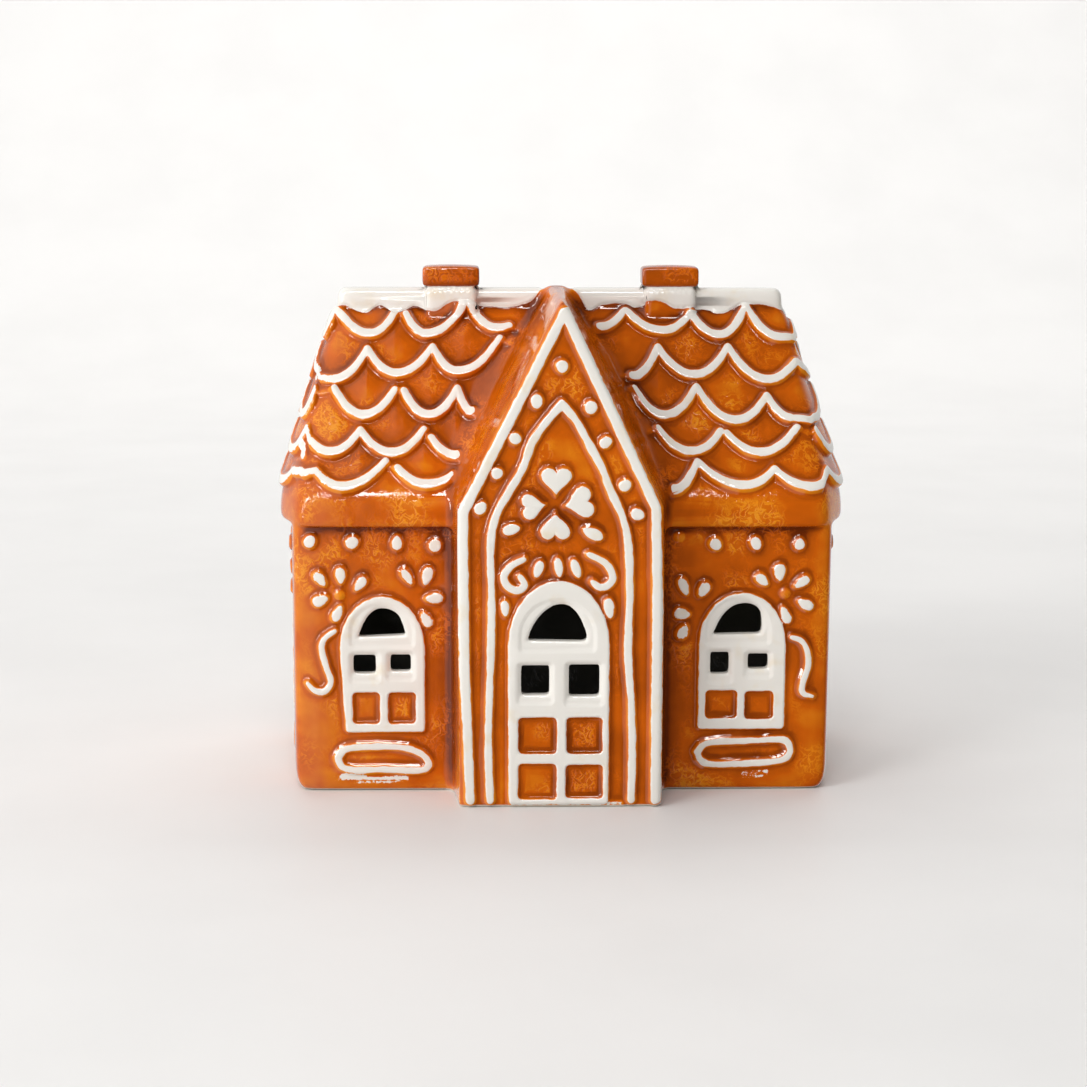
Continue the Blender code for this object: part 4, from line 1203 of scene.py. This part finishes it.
class HOUSE_OT_build(bpy.types.Operator):
    """Build the house with its icing relief as one mesh"""

    bl_idname = "gingerbread.house"
    bl_label = "House"

    def execute(self, context):
        sizes = context.scene.gingerbread_sizes
        house = House(sizes)
        points, quads = net(house, sizes.mesh_step / MM)
        item = mesh_object("gingerbread_house", points, quads)
        apply_modifier(item, "SUBSURF", subdivision_type="SIMPLE", levels=1)
        base, outward = house.settle(coordinates(item), 2)
        face_of, share, _ = house.sort_faces(base, outward)
        height, icing, _ = house.relief(base, face_of, share)
        skirt = SKIRT_HEIGHT * np.exp(-np.maximum(icing, 0.0) / SKIRT_WIDTH)
        crest = CREST_RIPPLE * np.sin(CREST_TURN * base[:, 0]) * (base[:, 2] > SNOW_TOP - 2.0)
        self.write_points(item, base + outward * (height + skirt + crest)[:, None])
        faces = sum(len(face.vertices) - 2 for face in item.data.polygons)
        apply_modifier(item, "DECIMATE", ratio=sizes.most_faces / faces)
        base, outward = house.settle(coordinates(item), 3)
        face_of, share, inside_painted_shade = house.sort_faces(base, outward)
        height, icing, wear = house.relief(base, face_of, share)
        normal, hollows, form = measure(house, base, outward, height, face_of, share)
        hole_rims(house, base, icing, inside_painted_shade)
        # The chimney bands are drawn darker all over
        form = np.where(base[:, 2] > BAND_BOTTOM - 0.2, BAND_DARKENING, form)
        finished = base + outward * height[:, None] + np.array(own_frame_shift())
        low, high = (np.array(corner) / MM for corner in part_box(NODE))
        self.write_points(item, np.clip(finished, low, high))
        item.data.shade_smooth()
        item.data.normals_split_custom_set_from_vertices(normal)
        add_values(item, icing=icing, wear=wear, near_hollow=hollows[0], wide_hollow=hollows[1],
                   above_line=hollows[2], form_hollow=form, inside=inside_painted_shade)
        item.data.materials.append(glaze_material(context.scene.gingerbread_colours))
        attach(item, "root")
        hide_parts(NODE)
        return {"FINISHED"}

    def write_points(self, item, points):
        """Puts the mesh's vertices at the points, in millimetres."""
        item.data.vertices.foreach_set("co", (points * MM).astype(np.float32).ravel())
        item.data.update()


def group_socket(tree, name, kind, default=None, output=False):
    """Adds an input or an output to a node group."""
    way = "OUTPUT" if output else "INPUT"
    socket = tree.interface.new_socket(name=name, in_out=way, socket_type=kind)
    if default is not None:
        socket.default_value = default


def link(tree, source, target):
    tree.links.new(source, target)


def maths(tree, operation, first, second=None, clamp=False):
    """A Math node on sockets or numbers. Returns its output."""
    node = tree.nodes.new("ShaderNodeMath")
    node.operation = operation
    node.use_clamp = clamp
    for socket, value in zip(node.inputs, (first, second)):
        if isinstance(value, (int, float)):
            socket.default_value = value
        elif value is not None:
            link(tree, value, socket)
    return node.outputs[0]


def map_range(tree, value, low, high, to_low=0.0, to_high=1.0):
    """A smooth step from one value to another between low and high. Returns its output."""
    node = tree.nodes.new("ShaderNodeMapRange")
    node.interpolation_type = "SMOOTHSTEP"
    link(tree, value, node.inputs["Value"])
    for name, number in (("From Min", low), ("From Max", high), ("To Min", to_low), ("To Max", to_high)):
        node.inputs[name].default_value = number
    return node.outputs["Result"]


def noise(tree, scale, detail=2.0, roughness=0.5, distortion=0.0):
    """Noise over the object's own coordinates. The scale is in features to a millimetre."""
    place = tree.nodes.new("ShaderNodeTexCoord")
    node = tree.nodes.new("ShaderNodeTexNoise")
    link(tree, place.outputs["Object"], node.inputs["Vector"])
    node.inputs["Scale"].default_value = scale / MM
    node.inputs["Detail"].default_value = detail
    node.inputs["Roughness"].default_value = roughness
    node.inputs["Distortion"].default_value = distortion
    return node.outputs["Fac"]


def mix_colour(tree, factor, first, second):
    """A mix of two colours, each a socket or a plain colour. Returns its output."""
    node = tree.nodes.new("ShaderNodeMix")
    node.data_type = "RGBA"
    link(tree, factor, node.inputs[0])
    for socket, value in ((node.inputs[6], first), (node.inputs[7], second)):
        if isinstance(value, bpy.types.NodeSocket):
            link(tree, value, socket)
        else:
            socket.default_value = (*value, 1.0)
    return node.outputs[2]


def painted_edge_group():
    """A node group: where the hand-painted white lies, with a wavering edge."""
    tree = bpy.data.node_groups.new("painted edge", "ShaderNodeTree")
    group_socket(tree, "Distance", "NodeSocketFloat", 9.0)
    group_socket(tree, "Wear", "NodeSocketFloat", 0.0)
    group_socket(tree, "Waver", "NodeSocketFloat", 0.75)
    group_socket(tree, "Mask", "NodeSocketFloat", output=True)
    group_socket(tree, "Thin", "NodeSocketFloat", output=True)
    start = tree.nodes.new("NodeGroupInput")
    end = tree.nodes.new("NodeGroupOutput")
    waver = maths(tree, "SUBTRACT", noise(tree, EDGE_WAVER, 3.0), 0.5)
    waver = maths(tree, "MULTIPLY", waver, start.outputs["Waver"])
    worn = maths(tree, "SUBTRACT", noise(tree, EDGE_WEAR, 3.0, 0.7), 0.35)
    worn = maths(tree, "MULTIPLY", maths(tree, "MULTIPLY", worn, start.outputs["Wear"]), 4.0)
    edge = maths(tree, "ADD", maths(tree, "ADD", start.outputs["Distance"], waver), worn)
    link(tree, map_range(tree, edge, *EDGE_MASK, 1.0, 0.0), end.inputs["Mask"])
    link(tree, map_range(tree, edge, *EDGE_THIN, 1.0, 0.0), end.inputs["Thin"])
    return tree


def glaze_depth_and_shade_group():
    """A node group: how deep the brown glaze lies, 0 thin to 1 pooled, with painted shade in the form's
    hollows counted as deeper glaze.
    """
    tree = bpy.data.node_groups.new("glaze depth and shade", "ShaderNodeTree")
    for name in ("Near Hollow", "Wide Hollow", "Above Line", "Form Pooling And Shade", "Thin", "Distance"):
        group_socket(tree, name, "NodeSocketFloat", 0.0)
    group_socket(tree, "Depth", "NodeSocketFloat", output=True)
    group_socket(tree, "Wrinkles", "NodeSocketFloat", output=True)
    start = tree.nodes.new("NodeGroupInput")
    end = tree.nodes.new("NodeGroupOutput")
    clouds = maths(tree, "SUBTRACT", noise(tree, CLOUDS, 3.0, 0.6), 0.5)
    clouds = maths(tree, "MULTIPLY", clouds, CLOUD_DEPTH)
    grain = maths(tree, "ABSOLUTE", maths(tree, "SUBTRACT", noise(tree, GRAIN, 2.0, 0.55, 0.8), 0.5))
    flecks = map_range(tree, grain, 0.0, 0.1, 1.0, 0.0)
    open_ground = map_range(tree, start.outputs["Distance"], 0.9, 3.0)
    patches = map_range(tree, noise(tree, PATCHES, 2.0), 0.4, 0.66)
    wrinkles = maths(tree, "MULTIPLY", flecks, maths(tree, "MULTIPLY", open_ground, patches))
    link(tree, wrinkles, end.inputs["Wrinkles"])
    depth = maths(tree, "ADD", PLAIN_DEPTH, clouds)
    depth = maths(tree, "ADD", depth, maths(tree, "MULTIPLY", wrinkles, GRAIN_DEPTH))
    for name, weight, least, most in DEPTH_AND_SHADE_CHANGES:
        part = maths(tree, "MAXIMUM", maths(tree, "MULTIPLY", start.outputs[name], weight), least)
        depth = maths(tree, "ADD", depth, maths(tree, "MINIMUM", part, most))
    link(tree, maths(tree, "ADD", depth, 0.0, clamp=True), end.inputs["Depth"])
    return tree


def attribute(tree, name):
    """The value stored under the name at each vertex."""
    node = tree.nodes.new("ShaderNodeAttribute")
    node.attribute_name = name
    return node.outputs["Fac"]


def glaze_material(colours):
    """Brown glaze that pools in the hollows, with painted shade in the form's corners, white glaze on the
    icing, bare clay at the foot and a dark painted shade inside.
    """
    material = bpy.data.materials.new("glazed ceramic")
    material.use_nodes = True
    tree = material.node_tree
    shader = tree.nodes["Principled BSDF"]
    edge = tree.nodes.new("ShaderNodeGroup")
    edge.node_tree = painted_edge_group()
    link(tree, attribute(tree, "icing"), edge.inputs["Distance"])
    link(tree, attribute(tree, "wear"), edge.inputs["Wear"])
    depth = tree.nodes.new("ShaderNodeGroup")
    depth.node_tree = glaze_depth_and_shade_group()
    for name, value in (("Near Hollow", "near_hollow"), ("Wide Hollow", "wide_hollow"),
                        ("Above Line", "above_line"), ("Form Pooling And Shade", "form_hollow")):
        link(tree, attribute(tree, value), depth.inputs[name])
    link(tree, attribute(tree, "icing"), depth.inputs["Distance"])
    link(tree, edge.outputs["Thin"], depth.inputs["Thin"])
    ramp = tree.nodes.new("ShaderNodeValToRGB")
    for number, (name, position) in enumerate(COLOUR_STOPS):
        stop = ramp.color_ramp.elements[number] if number < 2 else ramp.color_ramp.elements.new(position)
        stop.position = position
        stop.color = (*getattr(colours, name), 1.0)
    link(tree, depth.outputs["Depth"], ramp.inputs["Fac"])
    stain = map_range(tree, noise(tree, STAINS, 3.0), 0.55, 0.8)
    stained = tuple(a * b for a, b in zip(colours.icing, STAIN_TINT))
    white = mix_colour(tree, stain, tuple(colours.icing), stained)
    colour = mix_colour(tree, edge.outputs["Mask"], ramp.outputs["Color"], white)
    place = tree.nodes.new("ShaderNodeTexCoord")
    split = tree.nodes.new("ShaderNodeSeparateXYZ")
    link(tree, place.outputs["Object"], split.inputs[0])
    foot = map_range(tree, split.outputs["Z"], *FOOT_RIM, 1.0, 0.0)
    colour = mix_colour(tree, foot, colour, tuple(colours.clay))
    # The inside and the deep walls of the holes take the dark inside colour, a painted shade
    colour = mix_colour(tree, attribute(tree, "inside"), colour, tuple(colours.inside))
    link(tree, colour, shader.inputs["Base Color"])
    rough = maths(tree, "ADD", colours.roughness, maths(tree, "MULTIPLY", foot, FOOT_ROUGHNESS))
    link(tree, rough, shader.inputs["Roughness"])
    bump = tree.nodes.new("ShaderNodeBump")
    bump.inputs["Strength"].default_value = BUMP_STRENGTH
    bump.inputs["Distance"].default_value = BUMP_DISTANCE
    grain = maths(tree, "MULTIPLY", depth.outputs["Wrinkles"], 0.3)
    soft = maths(tree, "ADD", noise(tree, RIPPLES, 2.0), grain)
    link(tree, soft, bump.inputs["Height"])
    link(tree, bump.outputs["Normal"], shader.inputs["Normal"])
    shader.inputs["IOR"].default_value = GLAZE_IOR
    return material


class HOUSE_OT_stage(bpy.types.Operator):
    """Set the pale floor, the soft lights and the camera"""

    bl_idname = "gingerbread.stage"
    bl_label = "Stage"

    def execute(self, context):
        settings = context.scene.gingerbread_stage
        self.floor(settings)
        self.lights(settings)
        self.world(context.scene)
        self.camera(context.scene, settings)
        context.scene.view_settings.view_transform = "Standard"
        return {"FINISHED"}

    def floor(self, settings):
        """A pale sheet that lies flat under the house and sweeps up behind it."""
        half = settings.floor_size / 2
        profile = [(-half, 0.0), (SWEEP_START, 0.0)]
        for step in range(1, SWEEP_STEPS + 1):
            angle = math.pi / 2 * step / SWEEP_STEPS
            back, up = SWEEP_RADIUS * math.sin(angle), SWEEP_RADIUS * (1 - math.cos(angle))
            profile.append((SWEEP_START + back, up))
        profile.append((SWEEP_START + SWEEP_RADIUS, half))
        points = [(side * half, y, z) for y, z in profile for side in (-1, 1)]
        faces = [(2 * i, 2 * i + 1, 2 * i + 3, 2 * i + 2) for i in range(len(profile) - 1)]
        data = bpy.data.meshes.new("floor")
        data.from_pydata(points, [], faces)
        data.shade_smooth()
        floor = bpy.data.objects.new("floor", data)
        bpy.context.scene.collection.objects.link(floor)
        material = bpy.data.materials.new("pale floor")
        material.use_nodes = True
        tree = material.node_tree
        shader = tree.nodes["Principled BSDF"]
        cloud = map_range(tree, noise(tree, FLOOR_CLOUDS, 4.0), 0.3, 0.75)
        darker = tuple(channel * FLOOR_DARKER for channel in settings.floor)
        link(tree, mix_colour(tree, cloud, tuple(settings.floor), darker), shader.inputs["Base Color"])
        shader.inputs["Roughness"].default_value = FLOOR_ROUGHNESS
        shader.inputs["Specular IOR Level"].default_value = FLOOR_SPECULAR
        data.materials.append(material)
        floor.visible_glossy = False

    def lights(self, settings):
        """Three bright panels in an arc at the upper left, a soft fill from above and one on the sweep."""
        for number, (direction, turn) in enumerate(WINDOW_PANELS):
            place = Vector(WINDOW_TARGET) + Vector(direction).normalized() * WINDOW_DISTANCE
            power = settings.window_power
            self.panel(f"window {number}", place, WINDOW_TARGET, WINDOW_SIZE, power, True, turn)
        power = settings.backdrop_power
        self.panel("backdrop light", BACKDROP_PLACE, BACKDROP_TARGET, BACKDROP_SIZE, power, False)
        soft = bpy.data.lights.new("fill", "SUN")
        soft.energy = settings.fill_power
        soft.angle = math.radians(FILL_ANGLE)
        fill = bpy.data.objects.new("fill", soft)
        fill.rotation_euler = Vector(FILL_DIRECTION).to_track_quat("-Z", "Y").to_euler()
        fill.visible_glossy = False
        bpy.context.scene.collection.objects.link(fill)

    def panel(self, name, place, target, size, power, reflected, turn=0.0):
        """A rectangular light that shines at the target."""
        data = bpy.data.lights.new(name, "AREA")
        data.shape = "RECTANGLE"
        data.size, data.size_y = size
        data.energy = power
        light = bpy.data.objects.new(name, data)
        light.location = place
        aim = (Vector(target) - Vector(place)).to_track_quat("-Z", "Y")
        light.rotation_euler = (aim @ Quaternion((0.0, 0.0, 1.0), math.radians(turn))).to_euler()
        light.visible_glossy = reflected
        bpy.context.scene.collection.objects.link(light)

    def world(self, scene):
        """Pale behind and at the front left, dim at the front right, for what the glaze reflects."""
        world = bpy.data.worlds.new("studio")
        world.use_nodes = True
        tree = world.node_tree
        background = tree.nodes["Background"]
        place = tree.nodes.new("ShaderNodeTexCoord")
        split = tree.nodes.new("ShaderNodeSeparateXYZ")
        link(tree, place.outputs["Generated"], split.inputs[0])
        behind = map_range(tree, split.outputs["Y"], *WORLD_BEHIND)
        left = map_range(tree, split.outputs["X"], *WORLD_LEFT)
        link(tree, maths(tree, "MAXIMUM", behind, left), background.inputs["Strength"])
        background.inputs["Color"].default_value = WORLD_COLOUR
        scene.world = world

    def camera(self, scene, settings):
        """The photo's viewpoint, a little above the house and turned slightly to the right."""
        data = bpy.data.cameras.new("camera")
        data.sensor_width = 36.0
        data.lens = settings.lens
        camera = bpy.data.objects.new("camera", data)
        yaw, pitch, roll = (math.radians(angle) for angle in CAMERA_TURN.values())
        level = math.cos(pitch)
        forward = Vector((math.sin(yaw) * level, math.cos(yaw) * level, -math.sin(pitch)))
        right = Vector((math.cos(yaw), -math.sin(yaw), 0.0))
        up = right.cross(forward)
        turned_right = right * math.cos(roll) + up * math.sin(roll)
        turned_up = up * math.cos(roll) - right * math.sin(roll)
        matrix = camera.matrix_world.to_3x3()
        matrix.col[0], matrix.col[1], matrix.col[2] = turned_right, turned_up, -forward
        camera.matrix_world = matrix.to_4x4()
        camera.location = (Vector(CAMERA_PLACE) + own_frame_shift()) * MM
        scene.collection.objects.link(camera)
        scene.camera = camera


class HOUSE_PT_panel(bpy.types.Panel):
    """Settings and steps of the gingerbread house"""

    bl_idname = "HOUSE_PT_panel"
    bl_label = "Gingerbread house"
    bl_space_type = "VIEW_3D"
    bl_region_type = "UI"
    bl_category = "Gingerbread"

    def draw(self, context):
        layout = self.layout
        for name, group in GROUPS.items():
            for setting in group.__annotations__:
                layout.prop(getattr(context.scene, name), setting)
        for operator in OPERATORS:
            layout.operator(operator.bl_idname)


OPERATORS = (HOUSE_OT_build, HOUSE_OT_stage)
GROUPS = {
    "gingerbread_sizes": HouseSizes,
    "gingerbread_colours": GlazeColours,
    "gingerbread_stage": StageSettings,
}


def register():
    """Makes the settings, the steps and the panel known."""
    for item in (*GROUPS.values(), *OPERATORS, HOUSE_PT_panel):
        bpy.utils.register_class(item)
    for name, group in GROUPS.items():
        setattr(bpy.types.Scene, name, PointerProperty(type=group))


def unregister():
    """Takes them away again."""
    for name in GROUPS:
        delattr(bpy.types.Scene, name)
    for item in (HOUSE_PT_panel, *OPERATORS, *GROUPS.values()):
        bpy.utils.unregister_class(item)


def main():
    register()
    bpy.ops.gingerbread.house()
    bpy.ops.gingerbread.stage()


if __name__ == "__main__":
    main()
